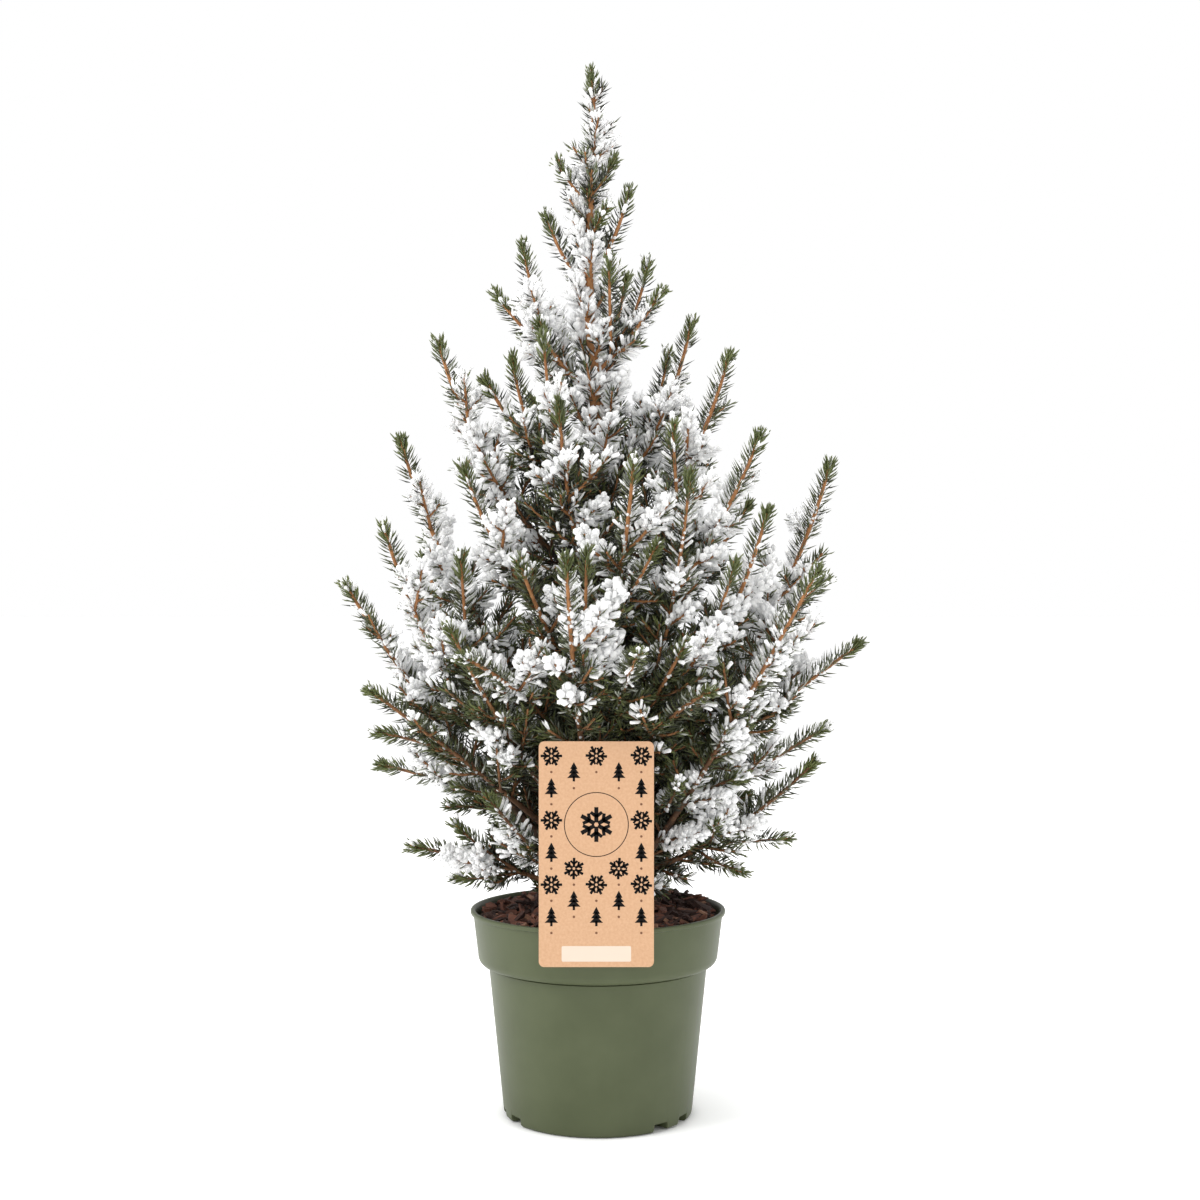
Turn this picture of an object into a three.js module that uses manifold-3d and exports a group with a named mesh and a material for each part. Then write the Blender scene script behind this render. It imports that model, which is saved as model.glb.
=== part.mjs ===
// A young spruce of conical habit in a moulded nursery pot, with a plain card label hooked over the rim.
// Millimetres, +Z up. The origin is the middle of the pot's flat underside, and the label faces -Y.
// Every stem is a curve from the trunk to a named tip. The stems branch by a seeded rule, and each
// mass of needles is one stem with its forks and side shoots, which keeps to its own space.

import * as THREE from "three";
import { mergeVertices } from "three/addons/utils/BufferGeometryUtils.js";
import Module from "manifold-3d";

const wasm = await Module();
wasm.setup();

// Driving dimensions.

const CLEARANCE = 0.3; // gap between any two pieces that meet

const POT = {
  rimRadius: 75,
  height: 120,
  lipHeight: 2.4,
  wall: 1.6,
  collarTopRadius: 73.3,
  collarFootRadius: 70.6,
  collarFoot: 88.3,
  collarRound: 4,
  bodyTopRadius: 64.4,
  bodyFootRadius: 55.8,
  floorRadius: 51.5,
  floor: 2.4,
  segments: 30,
};
const FEET = {
  count: 3,
  firstGap: 81, // degrees, the middle of a gap between two feet
  gapWidth: 32,
  toothWidth: 11,
  toothLift: 0.8,
  lift: 5,
  innerRadius: 24,
  roof: 2,
};
const SOIL = {
  top: 115.5,
  crown: 117.6, // height at the trunk's foot
  crownRadius: 18,
  roughness: 1.1,
  rings: [30, 57],
  segments: 30,
};
const LABEL = {
  width: 63,
  height: 123.5,
  foot: 100.6,
  middleX: -0.8,
  thickness: 0.7,
  corner: 3,
  stakeWidth: 12,
  stakeThickness: 1.1,
  stakeTop: 206,
  stakeFoot: 95.5,
  stakeInset: 68.2, // distance of the stake's outer face from the pot's axis, inside the rim
};
const TRUNK = {
  foot: 117.9,
  top: 505,
  // height, radius
  taper: [
    [117.9, 10.5],
    [121, 8.6],
    [128, 7.2],
    [150, 6.6],
    [200, 6],
    [260, 5.2],
    [330, 4.5],
    [400, 3.8],
    [450, 3.3],
    [505, 2.7],
  ],
  leanX: -6, // sideways travel of the leader's tip, over the whole height
  sway: 3,
  swayLength: 210,
  sides: 9,
  flareLobes: 4,
  flareDepth: 0.22,
};
const LEADER_TIP = 617;

const SHOOT = {
  step: 32, // length of one stretch of core, which carries six sprays of needles
  needleOut: 8.6, // how far a spray's point stands from the stem's middle
  nearSpray: 0.62, // where the points of a stretch stand along it, as shares of its length
  farSpray: 1.18,
  crowding: 0.9, // a spray is left out if its point is this share of needleOut from another twig
  bareFoot: 10, // bare stretch of every stem and side shoot next to what it grows from
  twist: 0.66, // radians turned from one step to the next
  tipForward: 8,
  baseRadius: 2.1,
  tipRadius: 0.95,
  sideRadius: 1.15,
  slimming: 0.0105, // radius gained for each mm of stem below the tip
};
const SIDE = {
  newGrowth: 50, // the last stretch of a stem has no side shoots
  firstAt: 30, // bare stretch next to the trunk
  spacing: 21,
  most: 3,
  lean: 0.86, // radians between stem and side shoot
  leanSpread: 0.16,
  rollSpread: 0.5,
  length: 24,
  lengthShare: 0.13, // of the stem that is left beyond the side shoot
  lengthSpread: 8,
  upturn: 0.22,
  clearOfOthers: 9.5,
};
const SPACE_GAP = 0.9; // a point belongs to a mass if its own stems are nearer by this much
const LIMB_GAP = 1.2;

// Where a stem's bend lies, as shares of its reach and of its rise.
const HABITS = {
  upright: [0.74, 0.36],
  rising: [0.58, 0.42],
  straight: [0.45, 0.5],
  level: [0.5, 0.78],
  sweeping: [0.56, 0.2],
  steep: [0.26, 0.1],
  drooping: [0.5, 1.05],
};

// Stems: name, start, azimuth in degrees, reach, tip height, habit, share that is a bare bough.
// A start is a height on the trunk, or a stem that it forks from with the share along it.
// Azimuth 0 is +X and 270 is the label's side.
const STEMS = [
  ["left_1", 486, 165, 28, 535, "upright"],
  ["left_1b", ["left_1", 0.25], 104, 27, 536, "upright"],
  ["left_3", 424, 178, 58, 486, "rising"],
  ["left_2", ["left_3", 0.3], 187, 40, 517, "upright"],
  ["left_3b", ["left_3", 0.25], 226, 43, 463, "upright"],
  ["left_4", 306, 189, 92, 460, "upright"],
  ["left_5", 346, 206, 73, 433, "rising"],
  ["left_5b", ["left_5", 0.35], 219, 60, 445, "upright"],
  ["left_6", 212, 176, 119, 404, "upright"],
  ["left_7", 268, 213, 92, 382, "upright"],
  ["left_8", 158, 196, 129, 351, "upright"],
  ["left_8b", ["left_8", 0.45], 214, 92, 333, "upright"],
  ["left_9", 130, 180, 151, 316, "rising", 0.44],
  ["left_10", 141, 204, 144, 255, "straight", 0.42],
  ["left_10b", ["left_10", 0.66], 199, 137, 227, "level"],
  ["left_11", 152, 164, 143, 201, "level"],
  ["left_11b", ["left_11", 0.35], 182, 92, 180, "level"],
  ["left_12", 122, 187, 115, 158, "level", 0.36],
  ["left_12b", ["left_12", 0.45], 172, 89, 135, "drooping"],
  ["left_12c", ["left_12", 0.4], 199, 89, 174, "rising"],
  ["right_1", 492, 352, 23, 547, "upright"],
  ["right_3", 434, 348, 46, 486, "rising"],
  ["right_2", ["right_3", 0.2], 12, 37, 508, "upright"],
  ["right_2b", ["right_3", 0.25], 300, 24, 504, "upright"],
  ["right_4", 352, 18, 66, 475, "upright"],
  ["right_4b", ["right_4", 0.4], 36, 59, 457, "rising"],
  ["right_5", 312, 350, 83, 451, "upright"],
  ["right_6", 274, 333, 105, 400, "upright"],
  ["right_6b", ["right_6", 0.45], 313, 63, 406, "upright"],
  ["right_7", 172, 5, 142, 391, "upright"],
  ["right_8", 192, 327, 115, 358, "upright"],
  ["right_9", 250, 22, 103, 365, "rising"],
  ["right_10", 121, 325, 154, 329, "steep", 0.46],
  ["right_10b", ["right_10", 0.78], 349, 137, 314, "level"],
  ["right_10c", ["right_10", 0.6], 350, 120, 283, "level"],
  ["right_11", 152, 2, 162, 279, "straight", 0.4],
  ["right_11b", ["right_11", 0.5], 8, 118, 261, "level"],
  ["right_12", 140, 24, 162, 224, "straight"],
  ["right_12b", ["right_12", 0.36], 12, 97, 183, "level"],
  ["right_13", 134, 354, 131, 211, "sweeping", 0.42],
  ["right_13b", ["right_13", 0.5], 8, 120, 158, "level"],
  ["right_13c", ["right_13", 0.44], 343, 90, 145, "drooping"],
  ["right_13d", ["right_13", 0.5], 326, 80, 176, "rising"],
  ["front_1", 294, 250, 62, 418, "upright"],
  ["front_1b", ["front_1", 0.3], 237, 50, 458, "upright"],
  ["front_2", 256, 284, 83, 383, "upright"],
  ["front_2b", ["front_2", 0.35], 289, 103, 334, "rising"],
  ["front_3", 163, 262, 115, 330, "upright", 0.36],
  ["front_3b", ["front_3", 0.5], 267, 94, 334, "upright"],
  ["front_4", 192, 235, 128, 272, "level"],
  ["front_5", 182, 281, 126, 275, "level"],
  ["front_6", 174, 300, 125, 254, "level"],
  ["front_7", 151, 224, 114, 292, "rising"],
  ["front_8", 143, 335, 95, 202, "level"],
  ["front_8b", ["front_8", 0.45], 302, 84, 201, "rising"],
  ["front_9", 200, 298, 107, 282, "rising"],
  ["front_9b", ["front_9", 0.45], 307, 86, 379, "upright"],
  ["front_9c", ["front_9", 0.5], 319, 104, 328, "upright"],
  ["front_10", 232, 243, 96, 327, "rising"],
  ["front_11", 124, 226, 92, 196, "rising"],
  ["back_1", 130, 58, 132, 196, "rising", 0.4],
  ["back_2", 147, 92, 126, 236, "rising"],
  ["back_3", 138, 128, 134, 192, "rising", 0.4],
  ["back_4", 166, 42, 136, 300, "upright"],
  ["back_5", 176, 76, 124, 326, "upright"],
  ["back_6", 170, 112, 130, 292, "rising"],
  ["back_7", 182, 146, 134, 334, "upright"],
  ["back_8", 244, 60, 96, 392, "upright"],
  ["back_9", 252, 108, 96, 384, "upright"],
  ["back_10", 336, 84, 62, 446, "upright"],
  ["back_10b", ["back_10", 0.3], 128, 66, 430, "rising"],
  ["back_11", 404, 112, 52, 476, "upright"],
  ["back_11b", ["back_11", 0.3], 156, 46, 462, "rising"],
  ["back_12", 436, 58, 44, 503, "upright"],
  ["back_12b", ["back_12", 0.3], 22, 40, 478, "rising"],
];

// Side shoots of the leader: height where they start, azimuth, reach, tip height.
const LEADER_SHOOTS = [
  [534, 176, 23, 563],
  [541, 20, 15, 566],
  [514, 300, 20, 532],
  [520, 90, 21, 548],
];

const cardBack = -(POT.rimRadius + CLEARANCE + LABEL.stakeThickness);

// Small helpers.

const radians = THREE.MathUtils.degToRad;
const lerp = THREE.MathUtils.lerp;
const up = new THREE.Vector3(0, 0, 1);

// Random numbers from 0 to 1 that are the same for the same seed.
function seeded(seed) {
  let state = seed >>> 0;
  return () => {
    state = (state + 0x6d2b79f5) >>> 0;
    let t = Math.imul(state ^ (state >>> 15), 1 | state);
    t = (t + Math.imul(t ^ (t >>> 7), 61 | t)) ^ t;
    return ((t ^ (t >>> 14)) >>> 0) / 4294967296;
  };
}

function solidOf(geometry) {
  const bare = geometry.clone();
  bare.deleteAttribute("normal");
  bare.deleteAttribute("uv");
  const merged = mergeVertices(bare, 1e-4);
  return new wasm.Manifold(
    new wasm.Mesh({
      numProp: 3,
      vertProperties: merged.attributes.position.array,
      triVerts: new Uint32Array(merged.index.array),
    }),
  );
}

function geometryOf(solid) {
  const mesh = solid.getMesh();
  const positions = new Float32Array(mesh.numVert * 3);
  for (let i = 0; i < mesh.numVert; i++)
    for (let k = 0; k < 3; k++)
      positions[3 * i + k] = mesh.vertProperties[i * mesh.numProp + k];
  const indexed = new THREE.BufferGeometry();
  indexed.setAttribute("position", new THREE.BufferAttribute(positions, 3));
  indexed.setIndex(new THREE.BufferAttribute(new Uint32Array(mesh.triVerts), 1));
  const faceted = indexed.toNonIndexed();
  faceted.computeVertexNormals();
  return faceted;
}

// The largest body of a solid: what a cut leaves loose is dropped.
function largestBody(solid) {
  const bodies = solid.decompose();
  return bodies.reduce((a, b) => (b.volume() > a.volume() ? b : a));
}

// A closed geometry from a list of triangles, each three points.
function geometryOfTriangles(triangles) {
  const positions = new Float32Array(triangles.flat().flatMap((p) => [p.x, p.y, p.z]));
  const geometry = new THREE.BufferGeometry();
  geometry.setAttribute("position", new THREE.BufferAttribute(positions, 3));
  return geometry;
}

// Rings of points round a path, each turned by twist from the one before. They stand square to the path,
// or lie level.
function ringsAlong(path, radii, sides, { twist = 0, shape = () => 1, level = false } = {}) {
  const rings = [];
  let side = null;
  path.forEach((centre, i) => {
    const before = path[Math.max(i - 1, 0)];
    const after = path[Math.min(i + 1, path.length - 1)];
    const tangent = level ? up.clone() : after.clone().sub(before).normalize();
    if (!side) side = new THREE.Vector3(1, 0.13, 0);
    side = side.clone().addScaledVector(tangent, -side.dot(tangent)).normalize();
    const across = tangent.clone().cross(side);
    const ring = [];
    for (let j = 0; j < sides; j++) {
      const angle = (2 * Math.PI * j) / sides + twist * i;
      const radius = radii[i] * shape(angle, i);
      ring.push(
        centre
          .clone()
          .addScaledVector(side, radius * Math.cos(angle))
          .addScaledVector(across, radius * Math.sin(angle)),
      );
    }
    rings.push(ring);
  });
  return rings;
}

function capTriangles(ring, facesForward) {
  const triangles = [];
  for (let j = 1; j + 1 < ring.length; j++)
    triangles.push(facesForward ? [ring[0], ring[j], ring[j + 1]] : [ring[0], ring[j + 1], ring[j]]);
  return triangles;
}

// A tapering limb along a path, with flat ends.
function limbSolid(path, radii, sides, options) {
  const rings = ringsAlong(path, radii, sides, options);
  const triangles = [...capTriangles(rings[0], false), ...capTriangles(rings.at(-1), true)];
  for (let i = 0; i + 1 < rings.length; i++)
    for (let j = 0; j < sides; j++) {
      const k = (j + 1) % sides;
      triangles.push([rings[i][j], rings[i][k], rings[i + 1][k]]);
      triangles.push([rings[i][j], rings[i + 1][k], rings[i + 1][j]]);
    }
  return solidOf(geometryOfTriangles(triangles));
}

// Trunk.

function trunkMiddle(height) {
  const share = (height - TRUNK.foot) / (LEADER_TIP - TRUNK.foot);
  const sway = TRUNK.sway * Math.sin((2 * Math.PI * (height - TRUNK.foot)) / TRUNK.swayLength);
  return new THREE.Vector3(TRUNK.leanX * share * share + sway * share, 0.5 * sway * (1 - share), height);
}

function trunkRadius(height) {
  const next = TRUNK.taper.findIndex(([z]) => z >= height);
  if (next === -1) return TRUNK.taper.at(-1)[1];
  if (next === 0) return TRUNK.taper[0][1];
  const [z0, r0] = TRUNK.taper[next - 1];
  const [z1, r1] = TRUNK.taper[next];
  return lerp(r0, r1, (height - z0) / (z1 - z0));
}

// The flare's lobes fade out over the lowest rings.
const flare = (angle, ring) =>
  1 + TRUNK.flareDepth * Math.max(0, 1 - ring / 3) * Math.cos(TRUNK.flareLobes * angle);

function trunkSolid() {
  const path = TRUNK.taper.map(([height]) => trunkMiddle(height));
  const radii = TRUNK.taper.map(([, radius]) => radius);
  return limbSolid(path, radii, TRUNK.sides, { shape: flare, level: true });
}

// The room that the trunk needs, with the clearance all round and beyond both ends.
function trunkRoomSolid() {
  const path = TRUNK.taper.map(([height]) => trunkMiddle(height));
  const radii = TRUNK.taper.map(([, radius]) => radius + 1.1 * CLEARANCE);
  path.unshift(path[0].clone().addScaledVector(up, -CLEARANCE));
  radii.unshift(radii[0]);
  path.push(path.at(-1).clone().addScaledVector(up, CLEARANCE));
  radii.push(radii.at(-1));
  const shape = (angle, ring) => flare(angle, Math.max(0, ring - 1));
  return limbSolid(path, radii, TRUNK.sides, { shape, level: true });
}

// Stems.

function pointOnBend(from, bend, to, t) {
  const a = from.clone().multiplyScalar((1 - t) * (1 - t));
  return a.addScaledVector(bend, 2 * t * (1 - t)).addScaledVector(to, t * t);
}

// A stem as a curve: at(t) gives its point at the share t, and length is measured along it.
function makeStem(name, mass, from, azimuth, reach, tipHeight, habit) {
  const way = new THREE.Vector3(Math.cos(radians(azimuth)), Math.sin(radians(azimuth)), 0);
  const axis = trunkMiddle(tipHeight > TRUNK.top ? tipHeight : Math.min(tipHeight, TRUNK.top));
  const tip = new THREE.Vector3(axis.x, axis.y, tipHeight).addScaledVector(way, reach);
  const [out, rise] = HABITS[habit];
  const bend = new THREE.Vector3(
    lerp(from.x, tip.x, out),
    lerp(from.y, tip.y, out),
    lerp(from.z, tip.z, rise),
  );
  const whole = (t) => pointOnBend(from, bend, tip, t);
  let length = 0;
  for (let i = 0; i < 24; i++) length += whole(i / 24).distanceTo(whole((i + 1) / 24));
  const woody = 1 - SHOOT.tipForward / length;
  return { name, mass, at: (t) => whole(woody * t), length: woody * length };
}

function makeStems() {
  const stems = new Map();
  for (const [name, start, azimuth, reach, tipHeight, habit, bare = 0] of STEMS) {
    const forks = Array.isArray(start);
    const from = forks ? stems.get(start[0]).at(start[1]) : trunkMiddle(start);
    const mass = forks ? stems.get(start[0]).mass : name;
    const stem = makeStem(name, mass, from, azimuth, reach, tipHeight, habit);
    stem.forks = forks;
    stem.bare = bare;
    stems.set(name, stem);
  }
  const leader = { name: "leader", mass: "leader", bare: 0, forks: false };
  leader.at = (t) => trunkMiddle(lerp(TRUNK.top + CLEARANCE, LEADER_TIP - SHOOT.tipForward, t));
  leader.length = LEADER_TIP - SHOOT.tipForward - TRUNK.top;
  stems.set("leader", leader);
  LEADER_SHOOTS.forEach(([start, azimuth, reach, tipHeight], i) => {
    const name = `leader_${i + 1}`;
    const stem = makeStem(name, "leader", trunkMiddle(start), azimuth, reach, tipHeight, "rising");
    stem.forks = true;
    stem.bare = 0;
    stems.set(name, stem);
  });
  return stems;
}

// Shares of a stem's length at which its core has a ring: its foot, the end of its bare foot, and then
// one ring to each stretch.
function ringShares(length, foot) {
  const bareFoot = foot + Math.min(0.4 * (1 - foot), SHOOT.bareFoot / length);
  const stretches = Math.max(1, Math.round((length * (1 - bareFoot)) / SHOOT.step));
  const shares = [foot];
  for (let i = 0; i <= stretches; i++) shares.push(lerp(bareFoot, 1, i / stretches));
  return shares;
}

// Side shoot number k of a stem. Its four random numbers are drawn in a fixed order.
function proposeSideShoot(stem, k) {
  const [shift, roll, lean, length] = [stem.random(), stem.random(), stem.random(), stem.random()];
  const first = Math.max(SIDE.firstAt, stem.length * stem.bare + 6);
  const along = stem.length - SIDE.newGrowth - SIDE.spacing * (k + 0.6 * (shift - 0.5));
  if (along < (stem.forks ? 12 : first)) return null;
  const t = along / stem.length;
  const foot = stem.at(t);
  const tangent = stem.at(Math.min(t + 0.02, 1)).sub(stem.at(t - 0.02)).normalize();
  const across = tangent.clone().cross(up).normalize();
  const rolled = (k % 2 ? 1 : -1) * across.length();
  const way = across
    .multiplyScalar(rolled)
    .applyAxisAngle(tangent, SIDE.rollSpread * 2 * (roll - 0.5));
  const angle = SIDE.lean + SIDE.leanSpread * 2 * (lean - 0.5);
  const direction = tangent
    .clone()
    .multiplyScalar(Math.cos(angle))
    .addScaledVector(way, Math.sin(angle));
  const size =
    SIDE.length + SIDE.lengthShare * (stem.length - along) + SIDE.lengthSpread * (length - 0.5);
  return ringShares(size, 0).map((share) =>
    foot
      .clone()
      .addScaledVector(direction, size * share)
      .addScaledVector(up, size * SIDE.upturn * share * share),
  );
}

// Distances.

const nearest = new THREE.Vector3();
const line = new THREE.Line3();

function distanceToPath(point, path) {
  let best = Infinity;
  for (let i = 0; i + 1 < path.length; i++) {
    line.set(path[i], path[i + 1]).closestPointToPoint(point, true, nearest);
    best = Math.min(best, nearest.distanceTo(point));
  }
  return best;
}

// Boughs, limbs and the twigs of each mass.

const stems = makeStems();
const trunk = trunkSolid();
const trunkRoom = trunkRoomSolid();
const trunkPath = TRUNK.taper.map(([height]) => trunkMiddle(height));

const stemRadius = (stem, t) =>
  Math.min(SHOOT.baseRadius + 1, SHOOT.tipRadius + SHOOT.slimming * stem.length * (1 - t));

function boughOf(stem) {
  const steps = Math.max(3, Math.round((stem.length * stem.bare) / 12));
  const path = [];
  const radii = [];
  for (let i = 0; i <= steps; i++) {
    const t = (stem.bare * i) / steps;
    path.push(stem.at(t));
    radii.push(stemRadius(stem, t) + 0.9 * (1 - i / steps));
  }
  return { name: `bough_${stem.name}`, path, radii };
}

const boughs = [...stems.values()].filter((stem) => stem.bare > 0).map(boughOf);

// Each mass: a list of twigs, a twig being a path and its radii. The first is its main stem.
const masses = new Map();
for (const [index, stem] of [...stems.values()].entries()) {
  stem.random = seeded(1000 + index);
  const gap = stem.bare > 0 ? CLEARANCE / stem.length : 0;
  const shares = ringShares(stem.length, stem.bare + gap);
  const path = shares.map(stem.at);
  const radii = shares.map((share) => stemRadius(stem, share) * (stem.forks ? 0.85 : 1));
  if (!masses.has(stem.mass)) masses.set(stem.mass, []);
  masses.get(stem.mass).push({ path, radii });
}

function clearOfOtherMasses(path, mass) {
  const probes = path.slice(1);
  for (const [name, twigs] of masses) {
    if (name === mass) continue;
    for (const twig of twigs)
      for (const probe of probes)
        if (distanceToPath(probe, twig.path) < SIDE.clearOfOthers) return false;
  }
  const limbs = [trunkPath, ...boughs.map((bough) => bough.path)];
  return limbs.every((limb) => probes.every((probe) => distanceToPath(probe, limb) > SIDE.clearOfOthers));
}

for (let k = 0; k < SIDE.most; k++)
  for (const stem of stems.values()) {
    const path = proposeSideShoot(stem, k);
    if (!path || !clearOfOtherMasses(path, stem.mass)) continue;
    const radii = path.map((_, i) => lerp(SHOOT.sideRadius, SHOOT.tipRadius * 0.8, i / (path.length - 1)));
    masses.get(stem.mass).push({ path, radii });
  }

// Whether a point lies in the space of a mass: nearer to its own twigs than to any other mass, and clear
// of the trunk, the boughs, the card and the pot.
function inOwnSpace(point, mass) {
  const overPot = Math.hypot(point.x, point.y) < POT.rimRadius + LIMB_GAP;
  if (overPot && point.z < POT.height + LIMB_GAP) return false;
  const cardTop = LABEL.foot + LABEL.height;
  const byCard = point.y < cardBack + 3 && Math.abs(point.x - LABEL.middleX) < LABEL.width / 2 + 3;
  if (byCard && point.z < cardTop + 3) return false;
  if (distanceToPath(point, trunkPath) < trunkRadius(point.z) + LIMB_GAP) return false;
  for (const bough of boughs)
    if (distanceToPath(point, bough.path) < bough.radii[0] + LIMB_GAP) return false;
  let own = Infinity;
  for (const twig of masses.get(mass)) own = Math.min(own, distanceToPath(point, twig.path));
  for (const [name, twigs] of masses) {
    if (name === mass) continue;
    for (const twig of twigs)
      if (distanceToPath(point, twig.path) < own + SPACE_GAP) return false;
  }
  return true;
}

// A twig whose facets are drawn out into points: each triangle of its three-sided core becomes one
// forward-leaning spray of needles, unless the spray would leave the mass's space or reach into the
// needles of a neighbouring twig.
function needledTwig({ path, radii }, mass) {
  const sides = 3;
  const rings = ringsAlong(path, radii, sides, { twist: SHOOT.twist });
  const triangles = capTriangles(rings[0], false);
  const neighbours = masses.get(mass).filter((twig) => twig.path !== path);
  const crowded = (point) =>
    neighbours.some((twig) => distanceToPath(point, twig.path) < SHOOT.needleOut * SHOOT.crowding);
  for (let i = 0; i + 1 < rings.length; i++) {
    const stretch = path[i + 1].clone().sub(path[i]);
    const tangent = stretch.clone().normalize();
    for (let j = 0; j < sides; j++) {
      const k = (j + 1) % sides;
      const near = [rings[i][j], rings[i][k], rings[i + 1][k]];
      const far = [rings[i][j], rings[i + 1][k], rings[i + 1][j]];
      for (const [corners, share] of [[near, SHOOT.nearSpray], [far, SHOOT.farSpray]]) {
        const outward = new THREE.Vector3();
        corners.forEach((corner) => outward.addScaledVector(corner, 1 / 3));
        outward.sub(path[i]);
        outward.addScaledVector(tangent, -outward.dot(tangent)).normalize();
        const point = path[i].clone().addScaledVector(stretch, share);
        point.addScaledVector(outward, SHOOT.needleOut);
        const shares = [0.25, 0.5, 0.75];
        const probes = corners.flatMap((corner) => shares.map((t) => corner.clone().lerp(point, t)));
        if (i > 0 && !crowded(point) && [point, ...probes].every((probe) => inOwnSpace(probe, mass)))
          corners.forEach((corner, c) => triangles.push([corner, corners[(c + 1) % 3], point]));
        else triangles.push(corners);
      }
    }
  }
  const last = rings.at(-1);
  const end = path.at(-1).clone().sub(path.at(-2)).normalize();
  const tip = path.at(-1).clone().addScaledVector(end, SHOOT.tipForward);
  last.forEach((corner, j) => triangles.push([corner, last[(j + 1) % sides], tip]));
  return solidOf(geometryOfTriangles(triangles));
}

function massSolid(mass, twigs) {
  let solid = null;
  for (const twig of twigs) {
    const made = needledTwig(twig, mass);
    solid = solid ? solid.add(made) : made;
  }
  return largestBody(solid.subtract(trunkRoom));
}

// Pot.

function potProfile() {
  const { rimRadius, height, lipHeight, wall, collarFoot, collarRound, floor } = POT;
  const lipFoot = height - lipHeight;
  const roundFoot = POT.collarFootRadius - collarRound;
  const points = [
    [0, 0],
    [POT.floorRadius, 0],
    [POT.bodyFootRadius - 1.6, 1.3],
    [POT.bodyFootRadius, 5],
    [POT.bodyTopRadius, collarFoot],
    [roundFoot, collarFoot],
    [POT.collarFootRadius - 0.9, collarFoot + 2],
    [POT.collarFootRadius, collarFoot + 5.5],
    [POT.collarTopRadius, lipFoot - 0.8],
    [rimRadius, lipFoot],
    [rimRadius, height - 0.8],
    [rimRadius - 1, height],
    [rimRadius - 2.4, height],
    [POT.collarTopRadius - wall, lipFoot],
    [POT.collarFootRadius - wall, collarFoot + 5.5],
    [roundFoot - wall, collarFoot + wall],
    [POT.bodyTopRadius - wall, collarFoot + wall],
    [POT.bodyFootRadius - wall, 6],
    [POT.floorRadius - wall, floor],
    [0, floor],
  ];
  return points.map(([r, z]) => new THREE.Vector2(r, z));
}

function lathe(points, segments) {
  return new THREE.LatheGeometry(points, segments).rotateX(Math.PI / 2);
}

// A block that fills a sector of a ring, between two heights.
function sector(inner, outer, low, high, middle, width) {
  const shape = new THREE.Shape();
  const from = radians(middle - width / 2);
  const to = radians(middle + width / 2);
  shape.absarc(0, 0, outer, from, to, false);
  shape.absarc(0, 0, inner, to, from, true);
  const options = { depth: high - low, bevelEnabled: false, curveSegments: 3 };
  const block = new THREE.ExtrudeGeometry(shape, options);
  return solidOf(block.translate(0, 0, low));
}

const gapMiddles = Array.from({ length: FEET.count }, (_, i) => FEET.firstGap + (360 / FEET.count) * i);

// Between the feet the floor is raised, with a small tooth in the middle of each gap and a drain slot.
function potSolid() {
  const { innerRadius, roof, lift, gapWidth, toothWidth, toothLift } = FEET;
  const outside = POT.bodyFootRadius + 3;
  const foot = POT.floorRadius;
  const roofTop = lift + roof;
  let solid = solidOf(lathe(potProfile(), POT.segments));
  for (const middle of gapMiddles) {
    solid = solid.add(sector(innerRadius - roof, foot + 1.5, 1, roofTop, middle, gapWidth + 5));
    for (const way of [-1, 1]) {
      const half = (gapWidth - toothWidth) / 2;
      const cut = middle + way * (toothWidth + half) * 0.5;
      solid = solid.subtract(sector(innerRadius, outside, -1, lift, cut, half));
    }
    solid = solid.subtract(sector(innerRadius, foot - 3, -1, lift, middle, toothWidth + 1));
    solid = solid.subtract(sector(foot - 4, outside, -1, toothLift, middle, toothWidth + 1));
    solid = solid.subtract(sector(innerRadius + 8, foot - 9, 1, roofTop + 1, middle, toothWidth));
  }
  return solid;
}

// Soil.

function soilTop(x, y) {
  const r = Math.hypot(x, y);
  const mound = THREE.MathUtils.smoothstep(r, SOIL.crownRadius, SOIL.rings.at(-1));
  const lumps = Math.sin(0.31 * x + 1.2) * Math.cos(0.27 * y - 0.6) + 0.6 * Math.sin(0.52 * (x + y));
  const inner = THREE.MathUtils.smoothstep(r, SOIL.crownRadius * 0.7, SOIL.crownRadius * 1.4);
  return lerp(SOIL.crown, SOIL.top, mound) + SOIL.roughness * lumps * inner;
}

function soilSolid() {
  const gap = CLEARANCE;
  const { wall, collarFoot, floor } = POT;
  const topRadius = POT.collarTopRadius - wall - gap - 1;
  const points = [
    [0, floor + gap],
    [POT.floorRadius - wall - gap, floor + gap],
    [POT.bodyFootRadius - wall - gap - 0.2, 6.2],
    [POT.bodyTopRadius - wall - gap - 0.1, collarFoot + wall + gap + 0.1],
    [POT.collarFootRadius - 2 * wall - gap - 3, collarFoot + wall + gap + 0.1],
    [POT.collarFootRadius - wall - gap - 0.2, collarFoot + 6],
    [topRadius, SOIL.top - 2],
    ...[...SOIL.rings].reverse().map((r) => [r, SOIL.top]),
    [SOIL.crownRadius * 0.7, SOIL.top],
    [0, SOIL.top],
  ];
  const geometry = lathe(points.map(([r, z]) => new THREE.Vector2(r, z)), SOIL.segments);
  const places = geometry.attributes.position;
  for (let i = 0; i < places.count; i++)
    if (places.getZ(i) > SOIL.top - 0.5) places.setZ(i, soilTop(places.getX(i), places.getY(i)));
  let solid = solidOf(geometry);
  for (const middle of gapMiddles) {
    const roofTop = FEET.lift + FEET.roof + gap;
    const inner = FEET.innerRadius - FEET.roof - gap;
    solid = solid.subtract(sector(inner, POT.bodyFootRadius, 0, roofTop, middle, FEET.gapWidth + 8.5));
  }
  return solid.subtract(stakeSolid(gap)).subtract(trunkRoom);
}

// Label: a card outside the rim, moulded in one with a stake that hooks over the rim into the soil.

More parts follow.
